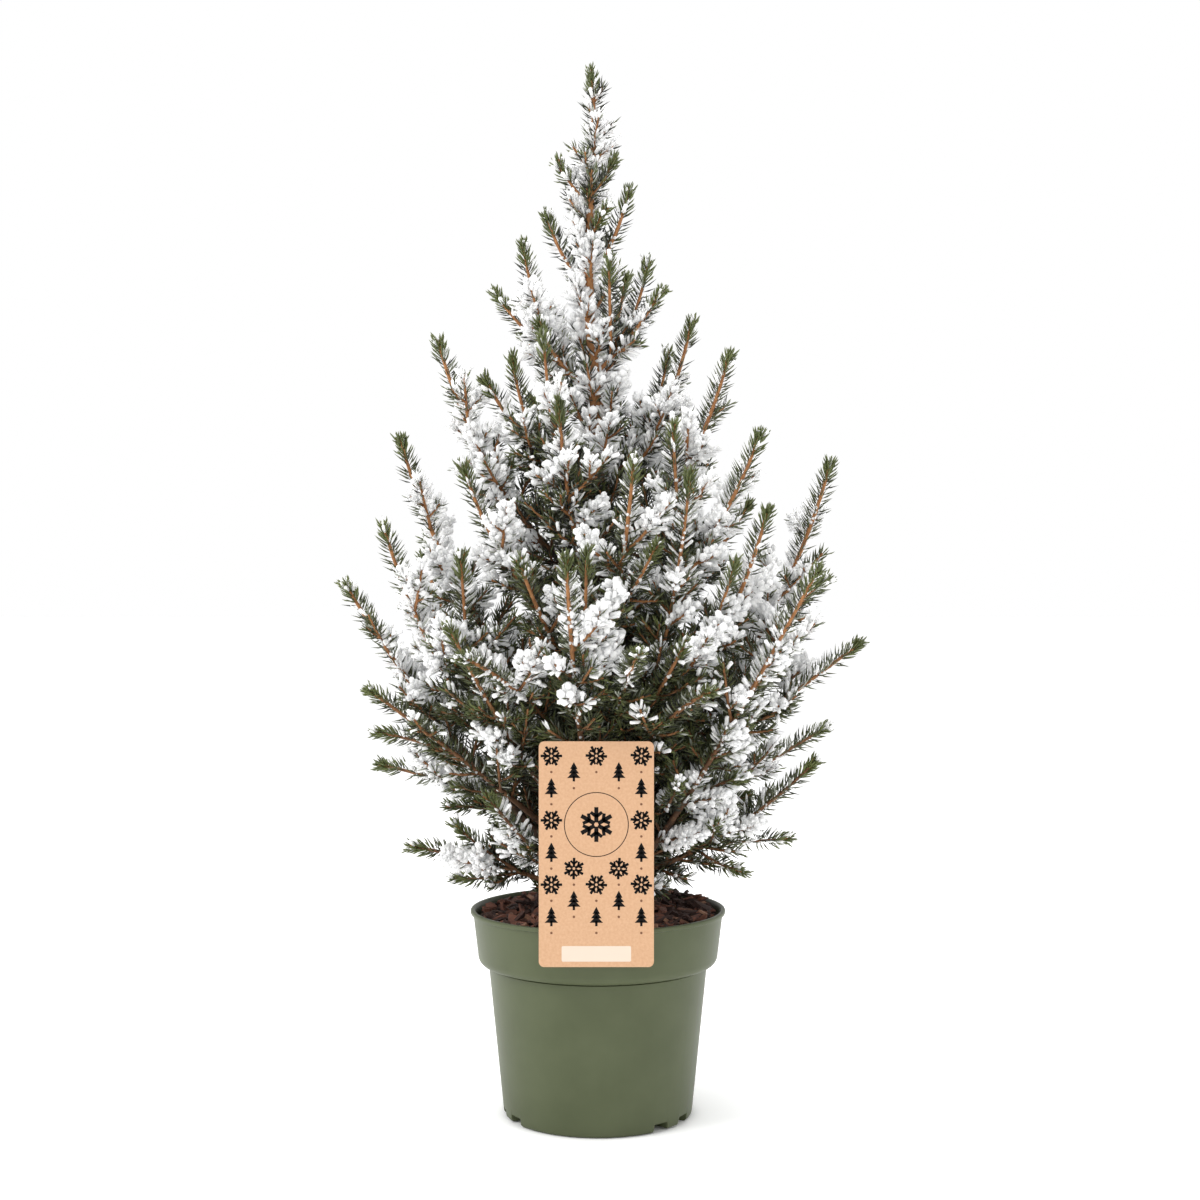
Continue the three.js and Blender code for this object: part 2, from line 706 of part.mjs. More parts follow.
function cardSolid() {
  const { width, height, corner, thickness } = LABEL;
  const x = width / 2 - corner;
  const y = height / 2 - corner;
  const shape = new THREE.Shape();
  shape.absarc(x, -y, corner, -Math.PI / 2, 0, false);
  shape.absarc(x, y, corner, 0, Math.PI / 2, false);
  shape.absarc(-x, y, corner, Math.PI / 2, Math.PI, false);
  shape.absarc(-x, -y, corner, Math.PI, 1.5 * Math.PI, false);
  const card = new THREE.ExtrudeGeometry(shape, { depth: thickness, bevelEnabled: false, curveSegments: 4 });
  card.rotateX(Math.PI / 2); // the card's outline now stands in XZ and its depth runs to -Y
  card.translate(LABEL.middleX, cardBack, LABEL.foot + height / 2);
  return solidOf(card);
}

// The stake's side view, as (y, z), grown all round by extra.
function stakeSolid(extra) {
  const outer = cardBack;
  const inner = outer + LABEL.stakeThickness;
  const inside = -LABEL.stakeInset;
  const over = POT.height + 2.6;
  const t = LABEL.stakeThickness;
  const outline = [
    [outer - extra, LABEL.stakeTop + extra],
    [outer - extra, over - extra],
    [inside - extra, over - 1.2 - extra],
    [inside - extra, LABEL.stakeFoot - extra],
    [inside + t + extra, LABEL.stakeFoot - extra],
    [inside + t + extra, over + t + extra],
    [inner + extra, over + 2 * t + extra],
    [inner + extra, LABEL.stakeTop + extra],
  ];
  const shape = new THREE.Shape(outline.map(([y, z]) => new THREE.Vector2(y, z)));
  const depth = LABEL.stakeWidth + 2 * extra;
  const stake = new THREE.ExtrudeGeometry(shape, { depth, bevelEnabled: false });
  stake.rotateX(Math.PI / 2).rotateZ(Math.PI / 2); // drawn in (y, z), its depth along X
  stake.translate(LABEL.middleX - depth / 2, 0, 0);
  return solidOf(stake);
}

// Assembly.

const finish = (color, roughness) =>
  new THREE.MeshStandardMaterial({ color, roughness, metalness: 0, flatShading: true });
const FINISHES = {
  pot: finish(0x6a7558, 0.45),
  soil: finish(0x3a2a22, 0.95),
  card: finish(0xe6bd97, 0.6),
  bark: finish(0x7a5138, 0.85),
  needles: finish(0x56654a, 0.8),
};

const spruce = new THREE.Group();

function addPiece(name, solid, material) {
  const mesh = new THREE.Mesh(geometryOf(solid), material);
  mesh.name = name;
  spruce.add(mesh);
}

addPiece("pot", potSolid(), FINISHES.pot);
addPiece("soil", soilSolid(), FINISHES.soil);
addPiece("label", cardSolid().add(stakeSolid(0)), FINISHES.card);
addPiece("trunk", trunk, FINISHES.bark);
for (const bough of boughs) {
  const solid = limbSolid(bough.path, bough.radii, 6);
  addPiece(bough.name, largestBody(solid.subtract(trunkRoom)), FINISHES.bark);
}
for (const [mass, twigs] of masses) addPiece(`mass_${mass}`, massSolid(mass, twigs), FINISHES.needles);

export default spruce;
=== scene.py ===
"""Looks of a young potted spruce with snow on its shoots.

Everything is in metres in the frame of the solids: +Z up, the pot's underside at 0, the label at -Y.
Sizes below are written in millimetres and turned to metres where a mesh is made. The stems and side
shoots follow the rule of the solids, with the same seeds, and are carried on to finer twigs and needles.
"""

import math

import bpy
import numpy as np
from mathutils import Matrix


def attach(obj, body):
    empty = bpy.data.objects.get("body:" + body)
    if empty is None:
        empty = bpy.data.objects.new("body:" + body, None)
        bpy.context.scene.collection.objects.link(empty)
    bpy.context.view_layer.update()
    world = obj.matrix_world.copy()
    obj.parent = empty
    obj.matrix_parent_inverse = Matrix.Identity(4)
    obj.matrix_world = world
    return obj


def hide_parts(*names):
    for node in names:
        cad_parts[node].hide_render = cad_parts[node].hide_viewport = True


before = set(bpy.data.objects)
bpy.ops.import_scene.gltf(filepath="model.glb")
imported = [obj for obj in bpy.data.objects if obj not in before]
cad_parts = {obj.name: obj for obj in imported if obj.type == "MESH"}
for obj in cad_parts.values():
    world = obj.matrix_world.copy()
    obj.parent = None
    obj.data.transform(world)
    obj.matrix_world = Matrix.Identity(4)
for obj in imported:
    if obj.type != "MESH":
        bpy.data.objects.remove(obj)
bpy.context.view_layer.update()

MM = 0.001

# Sizes, in millimetres

POT = dict(
    rim=75.0, height=120.0, lip_height=2.4, wall=1.6, collar_top=73.3, collar_foot_radius=70.6,
    collar_foot=88.3, collar_round=4.0, collar_rise=5.5, body_top=64.4, body_foot=55.8, groove=0.9,
    foot_height=5.0, foot_round=2.2, floor_radius=51.5, floor=2.4,
)
FEET = dict(first_gap=81.0, gap_width=32.0, tooth_width=11.0, tooth_lift=0.8, lift=5.0, inner_radius=44.0)
SOIL = dict(top=116.4, crown=118.4, crown_radius=18.0, mound_radius=57.0, edge=70.0, underside=100.0)
LABEL = dict(
    width=63.0, height=123.5, foot=100.6, middle_x=-0.8, thickness=0.7, corner=3.0,
    stake_width=12.0, stake_thickness=1.1, stake_top=206.0, stake_foot=95.5, stake_inset=68.2,
)
CLEARANCE = 0.3
CARD_BACK = -(POT["rim"] + CLEARANCE + LABEL["stake_thickness"])
CARD_FRONT = CARD_BACK - LABEL["thickness"]
CARD_LOW_X = LABEL["middle_x"] - LABEL["width"] / 2
CARD_HIGH_X = LABEL["middle_x"] + LABEL["width"] / 2
CARD_TOP = LABEL["foot"] + LABEL["height"]

TRUNK_FOOT, TRUNK_TOP, LEADER_TIP = 117.9, 505.0, 617.0
TRUNK_TAPER = np.array([
    [117.9, 10.5], [121, 8.6], [128, 7.2], [150, 6.6], [200, 6], [260, 5.2], [330, 4.5], [400, 3.8],
    [450, 3.3], [505, 2.7],
])
TRUNK_LEAN, TRUNK_SWAY, SWAY_LENGTH, FLARE_LOBES, FLARE_DEPTH = -6.0, 3.0, 210.0, 4, 0.22

TIP_FORWARD, TIP_RADIUS, SIDE_RADIUS = 8.0, 0.95, 1.25
STRETCH, BARE_FOOT = 32.0, 10.0
# The wood itself is slimmer than the stems' solids: 1.9 mm thick at a tip, up to 4.8 mm at a limb's foot
WOOD = dict(tip=0.95, slimming=0.0068, most=2.4, leader_slimming=0.0155)
SIDE = dict(
    new_growth=50.0, first_at=30.0, first_on_fork=12.0, spacing=21.0, most=3, lean=0.86, lean_spread=0.16,
    roll_spread=0.5, length=24.0, length_share=0.13, length_spread=8.0, upturn=0.22, clear=9.5,
)

HABITS = dict(
    upright=(0.74, 0.36), rising=(0.58, 0.42), straight=(0.45, 0.5), level=(0.5, 0.78),
    sweeping=(0.56, 0.2), steep=(0.26, 0.1), drooping=(0.5, 1.05),
)

# Stems: name, start, azimuth in degrees, reach, tip height, habit, share that is a bare bough.
# A start is a height on the trunk, or a stem that it forks from with the share along it.
STEMS = [
    ("left_1", 486, 165, 28, 535, "upright"), ("left_1b", ("left_1", 0.25), 104, 27, 536, "upright"),
    ("left_3", 424, 178, 58, 486, "rising"), ("left_2", ("left_3", 0.3), 187, 40, 517, "upright"),
    ("left_3b", ("left_3", 0.25), 226, 43, 463, "upright"), ("left_4", 306, 189, 92, 460, "upright"),
    ("left_5", 346, 206, 73, 433, "rising"), ("left_5b", ("left_5", 0.35), 219, 60, 445, "upright"),
    ("left_6", 212, 176, 119, 404, "upright"), ("left_7", 268, 213, 92, 382, "upright"),
    ("left_8", 158, 196, 129, 351, "upright"), ("left_8b", ("left_8", 0.45), 214, 92, 333, "upright"),
    ("left_9", 130, 180, 151, 316, "rising", 0.44), ("left_10", 141, 204, 144, 255, "straight", 0.42),
    ("left_10b", ("left_10", 0.66), 199, 137, 227, "level"), ("left_11", 152, 164, 143, 201, "level"),
    ("left_11b", ("left_11", 0.35), 182, 92, 180, "level"), ("left_12", 122, 187, 115, 158, "level", 0.36),
    ("left_12b", ("left_12", 0.45), 172, 89, 135, "drooping"),
    ("left_12c", ("left_12", 0.4), 199, 89, 174, "rising"), ("right_1", 492, 352, 23, 547, "upright"),
    ("right_3", 434, 348, 46, 486, "rising"), ("right_2", ("right_3", 0.2), 12, 37, 508, "upright"),
    ("right_2b", ("right_3", 0.25), 300, 24, 504, "upright"), ("right_4", 352, 18, 66, 475, "upright"),
    ("right_4b", ("right_4", 0.4), 36, 59, 457, "rising"), ("right_5", 312, 350, 83, 451, "upright"),
    ("right_6", 274, 333, 105, 400, "upright"), ("right_6b", ("right_6", 0.45), 313, 63, 406, "upright"),
    ("right_7", 172, 5, 142, 391, "upright"), ("right_8", 192, 327, 115, 358, "upright"),
    ("right_9", 250, 22, 103, 365, "rising"), ("right_10", 121, 325, 154, 329, "steep", 0.46),
    ("right_10b", ("right_10", 0.78), 349, 137, 314, "level"),
    ("right_10c", ("right_10", 0.6), 350, 120, 283, "level"),
    ("right_11", 152, 2, 162, 279, "straight", 0.4), ("right_11b", ("right_11", 0.5), 8, 118, 261, "level"),
    ("right_12", 140, 24, 162, 224, "straight"), ("right_12b", ("right_12", 0.36), 12, 97, 183, "level"),
    ("right_13", 134, 354, 131, 211, "sweeping", 0.42),
    ("right_13b", ("right_13", 0.5), 8, 120, 158, "level"),
    ("right_13c", ("right_13", 0.44), 343, 90, 145, "drooping"),
    ("right_13d", ("right_13", 0.5), 326, 80, 176, "rising"), ("front_1", 294, 250, 62, 418, "upright"),
    ("front_1b", ("front_1", 0.3), 237, 50, 458, "upright"), ("front_2", 256, 284, 83, 383, "upright"),
    ("front_2b", ("front_2", 0.35), 289, 103, 334, "rising"),
    ("front_3", 163, 262, 115, 330, "upright", 0.36),
    ("front_3b", ("front_3", 0.5), 267, 94, 334, "upright"), ("front_4", 192, 235, 128, 272, "level"),
    ("front_5", 182, 281, 126, 275, "level"), ("front_6", 174, 300, 125, 254, "level"),
    ("front_7", 151, 224, 114, 292, "rising"), ("front_8", 143, 335, 95, 202, "level"),
    ("front_8b", ("front_8", 0.45), 302, 84, 201, "rising"), ("front_9", 200, 298, 107, 282, "rising"),
    ("front_9b", ("front_9", 0.45), 307, 86, 379, "upright"),
    ("front_9c", ("front_9", 0.5), 319, 104, 328, "upright"), ("front_10", 232, 243, 96, 327, "rising"),
    ("front_11", 124, 226, 92, 196, "rising"), ("back_1", 130, 58, 132, 196, "rising", 0.4),
    ("back_2", 147, 92, 126, 236, "rising"), ("back_3", 138, 128, 134, 192, "rising", 0.4),
    ("back_4", 166, 42, 136, 300, "upright"), ("back_5", 176, 76, 124, 326, "upright"),
    ("back_6", 170, 112, 130, 292, "rising"), ("back_7", 182, 146, 134, 334, "upright"),
    ("back_8", 244, 60, 96, 392, "upright"), ("back_9", 252, 108, 96, 384, "upright"),
    ("back_10", 336, 84, 62, 446, "upright"), ("back_10b", ("back_10", 0.3), 128, 66, 430, "rising"),
    ("back_11", 404, 112, 52, 476, "upright"), ("back_11b", ("back_11", 0.3), 156, 46, 462, "rising"),
    ("back_12", 436, 58, 44, 503, "upright"), ("back_12b", ("back_12", 0.3), 22, 40, 478, "rising"),
]

# Side shoots of the leader: height where they start, azimuth, reach, tip height.
LEADER_SHOOTS = [
    (534, 176, 23, 563),
    (541, 20, 15, 566),
    (514, 300, 20, 532),
    (520, 90, 21, 548),
]

# The growth rule, as in the solids

MASK = 0xFFFFFFFF
UP = np.array([0.0, 0.0, 1.0])
STEM, SIDE_SHOOT, FINE_SHOOT, BUD = range(4)
ALONG = 0.02  # The share of a twig to either side of a place that gives its direction there
# Seeds of the random draws. Stems and shoots each have their own, counted up from the number here
SEEDS = dict(side=1000, trunk=4000, fine=5000, twiglet=9000, tuft=13000, chips=31, needles=77, puffs=9)


def seeded(seed):
    """Random numbers from 0 to 1 that are the same for the same seed."""
    state = seed & MASK

    def draw():
        nonlocal state
        state = (state + 0x6D2B79F5) & MASK
        t = ((state ^ (state >> 15)) * (1 | state)) & MASK
        t = ((t + ((t ^ (t >> 7)) * (61 | t))) ^ t) & MASK
        return ((t ^ (t >> 14)) & MASK) / 4294967296

    return draw


def smooth_step(value, low, high):
    """0 below low, 1 above high, and a smooth rise between."""
    t = np.clip((value - low) / (high - low), 0, 1)
    return t * t * (3 - 2 * t)


def wood_age_and_shade(to_tip, height):
    """The age of the wood, from 0 in this year's growth to 1 where it is some years old.

    The low shoots are made browner as well: painted shade, for the shade they stand in.
    """
    age = smooth_step(to_tip, 60, 165)
    # Painted shade: below 300 mm the wood is pushed towards the old, browner bark
    return age + (1 - age) * 0.65 * (1 - smooth_step(height, 190, 300))


def unit(v):
    """v at a length of 1."""
    return v / np.linalg.norm(v, axis=-1, keepdims=True)


def trunk_middle(height):
    """The trunk's middle line: a lean that grows with the square of the height, and a slow sway."""
    height = np.asarray(height, float)
    share = (height - TRUNK_FOOT) / (LEADER_TIP - TRUNK_FOOT)
    sway = TRUNK_SWAY * np.sin(2 * math.pi * (height - TRUNK_FOOT) / SWAY_LENGTH)
    return np.stack([TRUNK_LEAN * share**2 + sway * share, 0.5 * sway * (1 - share), height], -1)


class Twig:
    """A stem or shoot. points(t) gives its places at shares t of its length, and mass the mass it's in.

    radii are those of its wood at foot and tip, and bare is the share of a stem that is a bough.
    """

    def __init__(self, points, length, kind, mass, radii=(0, 0), fork=False, age=0.0, bare=0.0,
                 leader=False):
        self.points, self.length, self.kind, self.mass, self.radii = points, length, kind, mass, radii
        self.fork, self.age, self.bare, self.leader = fork, age, bare, leader


def bend_curve(foot, bend, tip, woody):
    """A quadratic curve from foot to tip, pulled towards bend, of which the first share is wood."""

    def points(t):
        t = np.asarray(t, float)[..., None] * woody
        return (1 - t) ** 2 * foot + 2 * t * (1 - t) * bend + t**2 * tip

    return points


def stem_curve(foot, azimuth, reach, tip_height, habit):
    """A stem's curve: its tip stands at the reach from the trunk's middle line, at the tip's height."""
    a = math.radians(azimuth)
    tip = trunk_middle(tip_height) + reach * np.array([math.cos(a), math.sin(a), 0.0])
    out, rise = HABITS[habit]
    bend = foot + (tip - foot) * np.array([out, out, rise])
    whole = bend_curve(foot, bend, tip, 1.0)(np.linspace(0, 1, 25))
    length = np.linalg.norm(np.diff(whole, axis=0), axis=1).sum()
    woody = 1 - TIP_FORWARD / length
    return bend_curve(foot, bend, tip, woody), woody * length


def grow_stems():
    """All stems by name: those of the table, the leader, and the leader's own shoots."""
    stems = {}
    for name, start, azimuth, reach, tip_height, habit, *bare in STEMS:
        fork = isinstance(start, tuple)
        foot = stems[start[0]].points(start[1]) if fork else trunk_middle(start)
        points, length = stem_curve(foot, azimuth, reach, tip_height, habit)
        mass = stems[start[0]].mass if fork else name
        stems[name] = Twig(points, length, STEM, mass, fork=fork, bare=bare[0] if bare else 0.0)
    wood = LEADER_TIP - TIP_FORWARD - TRUNK_TOP
    stems["leader"] = Twig(
        lambda t: trunk_middle(TRUNK_TOP + CLEARANCE + (wood - CLEARANCE) * np.asarray(t)),
        wood, STEM, "leader", leader=True)
    for i, (start, azimuth, reach, tip_height) in enumerate(LEADER_SHOOTS):
        points, length = stem_curve(trunk_middle(start), azimuth, reach, tip_height, "rising")
        stems[f"leader_{i + 1}"] = Twig(points, length, STEM, "leader", fork=True)
    return stems


def ring_shares(length, foot):
    """The shares of a length at which the solids have a ring, from the share where the mass begins."""
    bare_foot = foot + min(0.4 * (1 - foot), BARE_FOOT / length)
    stretches = max(1, math.floor(length * (1 - bare_foot) / STRETCH + 0.5))
    return np.array([foot, *(bare_foot + (1 - bare_foot) * np.arange(stretches + 1) / stretches)])


def turned(v, axis, angle):
    """v turned about a unit axis by the angle."""
    c, s = math.cos(angle), math.sin(angle)
    return v * c + np.cross(axis, v) * s + axis * np.dot(axis, v) * (1 - c)


def shoot_curve(foot, direction, size, upturn):
    """A shoot runs straight out along its direction and turns up with the square of the way along."""

    def points(t):
        t = np.asarray(t, float)[..., None]
        return foot + direction * size * t + UP * (size * upturn) * t**2

    return points


def shoot_from(twig, t, roll, angle, size, upturn, side=1, up=UP):
    """The curve of a shoot that leaves a twig at share t, and the way it leaves, square to the twig.

    That way is level, to the side of 1 or -1, then turned about the twig by roll. The shoot leans out
    from the twig by the angle.
    """
    tangent = unit(twig.points(min(t + ALONG, 1)) - twig.points(max(t - ALONG, 0)))
    way = turned(unit(np.cross(tangent, up)) * side, tangent, roll)
    direction = tangent * math.cos(angle) + way * math.sin(angle)
    return shoot_curve(twig.points(t), direction, size, upturn), way


def propose_side_shoot(stem, k, draw):
    """The k-th side shoot of a stem, counted from its tip, or none this near to the stem's foot."""
    shift, roll, lean, length = draw(), draw(), draw(), draw()
    along = stem.length - SIDE["new_growth"] - SIDE["spacing"] * (k + 0.6 * (shift - 0.5))
    first = SIDE["first_on_fork"] if stem.fork else max(SIDE["first_at"], stem.length * stem.bare + 6)
    if along < first:
        return None
    to_tip = stem.length - along
    size = SIDE["length"] + SIDE["length_share"] * to_tip + SIDE["length_spread"] * (length - 0.5)
    points, _ = shoot_from(stem, along / stem.length, SIDE["roll_spread"] * 2 * (roll - 0.5),
                           SIDE["lean"] + SIDE["lean_spread"] * 2 * (lean - 0.5), size, SIDE["upturn"],
                           side=1 if k % 2 else -1)
    return Twig(points, size, SIDE_SHOOT, stem.mass, (SIDE_RADIUS, TIP_RADIUS * 0.8),
                age=0.8 * wood_age_and_shade(to_tip, points(0.0)[2]))


def distances(points, paths):
    """Distance of each point to each straight piece of the paths, as a table."""
    starts = np.concatenate([path[:-1] for path in paths])
    way = np.concatenate([path[1:] for path in paths]) - starts
    t = ((points[:, None] - starts) * way).sum(-1) / np.maximum((way**2).sum(-1), 1e-9)
    nearest = starts + np.clip(t, 0, 1)[..., None] * way
    return np.linalg.norm(points[:, None] - nearest, axis=-1)


def grow_side_shoots(stems):
    """Side shoots in the order of the solids' rule, each clear of the other masses and of the limbs."""
    paths, shoots = {"limbs": [trunk_middle(TRUNK_TAPER[:, 0])]}, []
    for stem in stems.values():
        gap = CLEARANCE / stem.length if stem.bare else 0.0
        path = stem.points(ring_shares(stem.length, stem.bare + gap))
        paths.setdefault(stem.mass, []).append(path)
        if stem.bare:
            steps = max(3, math.floor(stem.length * stem.bare / 12 + 0.5))
            paths["limbs"].append(stem.points(stem.bare * np.arange(steps + 1) / steps))
    draws = [seeded(SEEDS["side"] + i) for i in range(len(stems))]
    for k in range(SIDE["most"]):
        for stem, draw in zip(stems.values(), draws):
            shoot = propose_side_shoot(stem, k, draw)
            if shoot is None:
                continue
            path = shoot.points(ring_shares(shoot.length, 0))
            others = [p for mass, ps in paths.items() if mass != stem.mass for p in ps]
            if distances(path[1:], others).min() >= SIDE["clear"]:
                paths[stem.mass].append(path)
                shoots.append(shoot)
    return shoots


# Finer twigs, in the spaces between the side shoots

GOLDEN = 2.4  # About the golden angle, in radians
# Fine shoots begin this far from a stem's tip, by the stem's length
FINE_NEW_GROWTH = [110, 130, 190, 220], [42, 60, 60, 82]
FINE = dict(spacing=6.2, lean=0.9, lean_spread=0.18, shortest=11.0, share=0.115, spread=6.0, longest=27.0,
            upturn=0.16, foot=16.0, foot_on_fork=9.0, clear_of_trunk=12.0, radii=(1.25, 0.75))
# Shoots straight from the trunk, by height: their size, the angle at which they rise, and their spacing
TRUNK_SHOOTS = dict(
    first=136.0, last=600.0, upturn=0.05, radii=(1.35, 0.75),
    size=([136, 200, 318, 497, 512, 600], [30, 46, 46, 24, 14, 8]),
    rise=([136, 220, 318, 497, 600], [0.35, 0.6, 0.95, 1.0, 0.85]),
    spacing=([136, 318, 500, 600], [4.5, 5.5, 8, 9]),
)
TWIGLET = dict(places=(0.3, 0.52, 0.7), room=11.0, size=9.0, spread=5.0, lean=0.8, upturn=0.15,
               radii=(0.95, 0.65))
TUFT = dict(foot=0.985, length=6.5, spread=0.3, radii=(0.8, 0.5))

POT_MARGIN, CARD_MARGIN, LIMB_MARGIN = 5.0, 7.0, 7.0
# Limbs that stand open to the label's side: name, and the share of the limb up to which they show
OPEN_LIMBS = {"right_10": 0.66, "left_9": 0.5, "left_12": 0.5}
VIEW_FROM = np.array([0.0, -1043.0, 301.0])


def room_for(points):
    """Which points are clear of the pot's rim, of its inside, and of the card."""
    x, y, z = points.T
    pot = (z < POT["height"] + POT_MARGIN) & (np.hypot(x, y) < POT["rim"] + POT_MARGIN)
    card = (y < CARD_BACK + CARD_MARGIN) & (abs(x) < LABEL["width"] / 2 + CARD_MARGIN)
    return ~(pot | (card & (z < CARD_TOP + POT_MARGIN)))


def seen_from_front(points):
    """Places on a plane 1 m from a viewer who stands in front of the label, and their distances."""
    away = points[..., 1] - VIEW_FROM[1]
    return (points - VIEW_FROM)[..., [0, 2]] / away[..., None] * 1000, away


def hides_a_limb(points, limbs):
    """Whether any of the points stands in front of an open limb, within 7 mm of it as it's seen."""
    places, away = seen_from_front(points)
    for path in limbs:
        limb_places, limb_away = seen_from_front(path)
        near = np.linalg.norm(places[:, None] - limb_places[None], axis=-1) < LIMB_MARGIN
        if (near & (away[:, None] < limb_away[None] - 2)).any():
            return True
    return False


def stands_free(curve, shares, limbs):
    """Whether a shoot keeps clear of pot and card, and hides no open limb at the given shares of it."""
    return room_for(curve(np.array([0.5, 1.0]))).all() and not hides_a_limb(curve(np.array(shares)), limbs)


def grow_fine_shoots(stems, limbs):
    """Short shoots all round each stem, a golden angle apart, and longer the further from its tip.

    The label's side of the older part of an open limb bears none, so the limb shows there.
    """
    shoots = []
    for index, (name, stem) in enumerate(stems.items()):
        draw = seeded(SEEDS["fine"] + index)
        along = stem.length - np.interp(stem.length, *FINE_NEW_GROWTH)
        k = 0
        while along > FINE["foot_on_fork" if stem.fork else "foot"]:
            roll, lean, length = draw(), draw(), draw()
            to_tip = stem.length - along
            size = FINE["shortest"] + FINE["share"] * to_tip + FINE["spread"] * (length - 0.5)
            size = min(size, FINE["longest"])
            points, way = shoot_from(stem, along / stem.length, GOLDEN * k + 0.7 * roll,
                                     FINE["lean"] + FINE["lean_spread"] * 2 * (lean - 0.5), size,
                                     FINE["upturn"], up=UP + 1e-3)
            shown = name in OPEN_LIMBS and way[1] < -0.35 and along < 0.45 * stem.length
            clear_of_trunk = np.hypot(*points(1.0)[:2]) > FINE["clear_of_trunk"]
            if not shown and clear_of_trunk and stands_free(points, (0.5, 0.8, 1.1), limbs):
                shoots.append(Twig(points, size, FINE_SHOOT, stem.mass, FINE["radii"],
                                   age=0.8 * wood_age_and_shade(to_tip, points(0.0)[2])))
            along -= FINE["spacing"] * (0.8 + 0.4 * draw())
            k += 1
    return shoots


def grow_trunk_shoots(limbs):
    """Short shoots straight from the trunk and the leader, a golden angle apart.

    They are longest, and lie lowest, near the foot, and are mere spurs on the leader.
    """
    shoots, draw = [], seeded(SEEDS["trunk"])
    height, k = TRUNK_SHOOTS["first"], 0
    while height < TRUNK_SHOOTS["last"]:
        azimuth = GOLDEN * k + 0.5 * draw()
        size = np.interp(height, *TRUNK_SHOOTS["size"]) * (0.8 + 0.4 * draw())
        rise = np.interp(height, *TRUNK_SHOOTS["rise"]) + 0.25 * draw()
        level = math.cos(rise)
        direction = np.array([math.cos(azimuth) * level, math.sin(azimuth) * level, math.sin(rise)])
        points = shoot_curve(trunk_middle(height), direction, size, TRUNK_SHOOTS["upturn"])
        if stands_free(points, (0.3, 0.6, 0.9, 1.1), limbs):
            shoots.append(Twig(points, size, SIDE_SHOOT, "trunk", TRUNK_SHOOTS["radii"],
                               age=0.9 * (1 - smooth_step(height, 250, 450))))
        height += np.interp(height, *TRUNK_SHOOTS["spacing"]) + 3 * draw()
        k += 1
    return shoots


def grow_twiglets(shoots, limbs):
    """Up to three short twiglets, left and right, on each shoot that is long enough."""
    made = []
    for index, shoot in enumerate(shoots):
        draw = seeded(SEEDS["twiglet"] + index)
        for k, t in enumerate(TWIGLET["places"]):
            if shoot.length * (1 - t) < TWIGLET["room"]:
                continue
            roll, size = 0.8 * (draw() - 0.5), TWIGLET["size"] + TWIGLET["spread"] * draw()
            points, _ = shoot_from(shoot, t, roll, TWIGLET["lean"], size, TWIGLET["upturn"],
                                   side=1 if k % 2 else -1)
            if stands_free(points, (0.5, 1.1), limbs):
                made.append(Twig(points, size, FINE_SHOOT, shoot.mass, TWIGLET["radii"], age=shoot.age))
    return made


def grow_tip_tufts(stems):
    """Two or three buds of new growth that stand side by side at the tip of each stem."""
    made = []
    for index, stem in enumerate(stems.values()):
        draw = seeded(SEEDS["tuft"] + index)
        tangent = unit(stem.points(1.0) - stem.points(0.96))
        across = unit(np.cross(tangent, UP + 1e-3))
        turn = math.pi * draw()
        for k in range(2 + (draw() > 0.55)):
            way = turned(across, tangent, turn + 2.1 * k + 0.5 * draw())
            direction = unit(tangent + way * TUFT["spread"] * (0.7 + 0.6 * draw()))
            size = TUFT["length"] * (0.75 + 0.4 * draw())
            points = shoot_curve(stem.points(TUFT["foot"]), direction, size, 0.0)
            made.append(Twig(points, size, BUD, stem.mass, TUFT["radii"]))
    return made


# Mesh helpers


def linear(hex_colour):
    """An sRGB hex colour as linear red, green, blue and alpha."""
    parts = [int(hex_colour[i:i + 2], 16) / 255 for i in (1, 3, 5)]
    return [p / 12.92 if p <= 0.04045 else ((p + 0.055) / 1.055) ** 2.4 for p in parts] + [1.0]


def mesh_piece(name, vertices, faces, material, replaces=(), smooth=True, slot=None, crease=None, ages=None):
    """A mesh of vertices in millimetres and faces of three or four corners, that rides on the root.

    Edges that turn by more than the crease angle, in degrees, are shaded sharp. Ages, which on low shoots
    also carry painted shade, are kept as a value of each vertex, for the bark's colour.
    """
    mesh = bpy.data.meshes.new(name)
    faces = [np.asarray(f, np.int32) for f in (faces if isinstance(faces, list) else [faces])]
    corners = np.concatenate([f.ravel() for f in faces])
    sizes = np.concatenate([np.full(len(f), f.shape[1], np.int32) for f in faces])
    mesh.vertices.add(len(vertices))
    mesh.vertices.foreach_set("co", (np.asarray(vertices, float) * MM).ravel())
    mesh.loops.add(len(corners))
    mesh.loops.foreach_set("vertex_index", corners)
    mesh.polygons.add(len(sizes))
    mesh.polygons.foreach_set("loop_start", np.concatenate([[0], np.cumsum(sizes)[:-1]]))
    mesh.polygons.foreach_set("use_smooth", np.full(len(sizes), smooth))
    mesh.update(calc_edges=True)
    mesh.validate()
    if crease:
        mesh.set_sharp_from_angle(angle=math.radians(crease))
    if ages is not None:
        mesh.attributes.new("wood_age_and_shade", "FLOAT", "POINT").data.foreach_set("value", ages)
    mesh.materials.append(material)
    piece = bpy.data.objects.new(name, mesh)
    bpy.context.scene.collection.objects.link(piece)
    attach(piece, "root")
    if replaces:
        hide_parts(*replaces)


def grid_faces(rows, columns):
    """Four-cornered faces of a grid of points, row after row, that closes round on its columns."""
    i, j = np.meshgrid(np.arange(rows - 1), np.arange(columns), indexing="ij")
    k = (j + 1) % columns
    return np.stack([i * columns + j, i * columns + k, (i + 1) * columns + k, (i + 1) * columns + j],
                    -1).reshape(-1, 4)


def end_fans(rows, columns):
    """Triangles that close such a grid at its first and last row, each to a point that follows the grid."""
    j = np.arange(columns)
    k = (j + 1) % columns
    last, end = (rows - 1) * columns, rows * columns + 0 * j
    return np.concatenate([np.stack([k, j, end], -1), np.stack([last + j, last + k, end + 1], -1)])


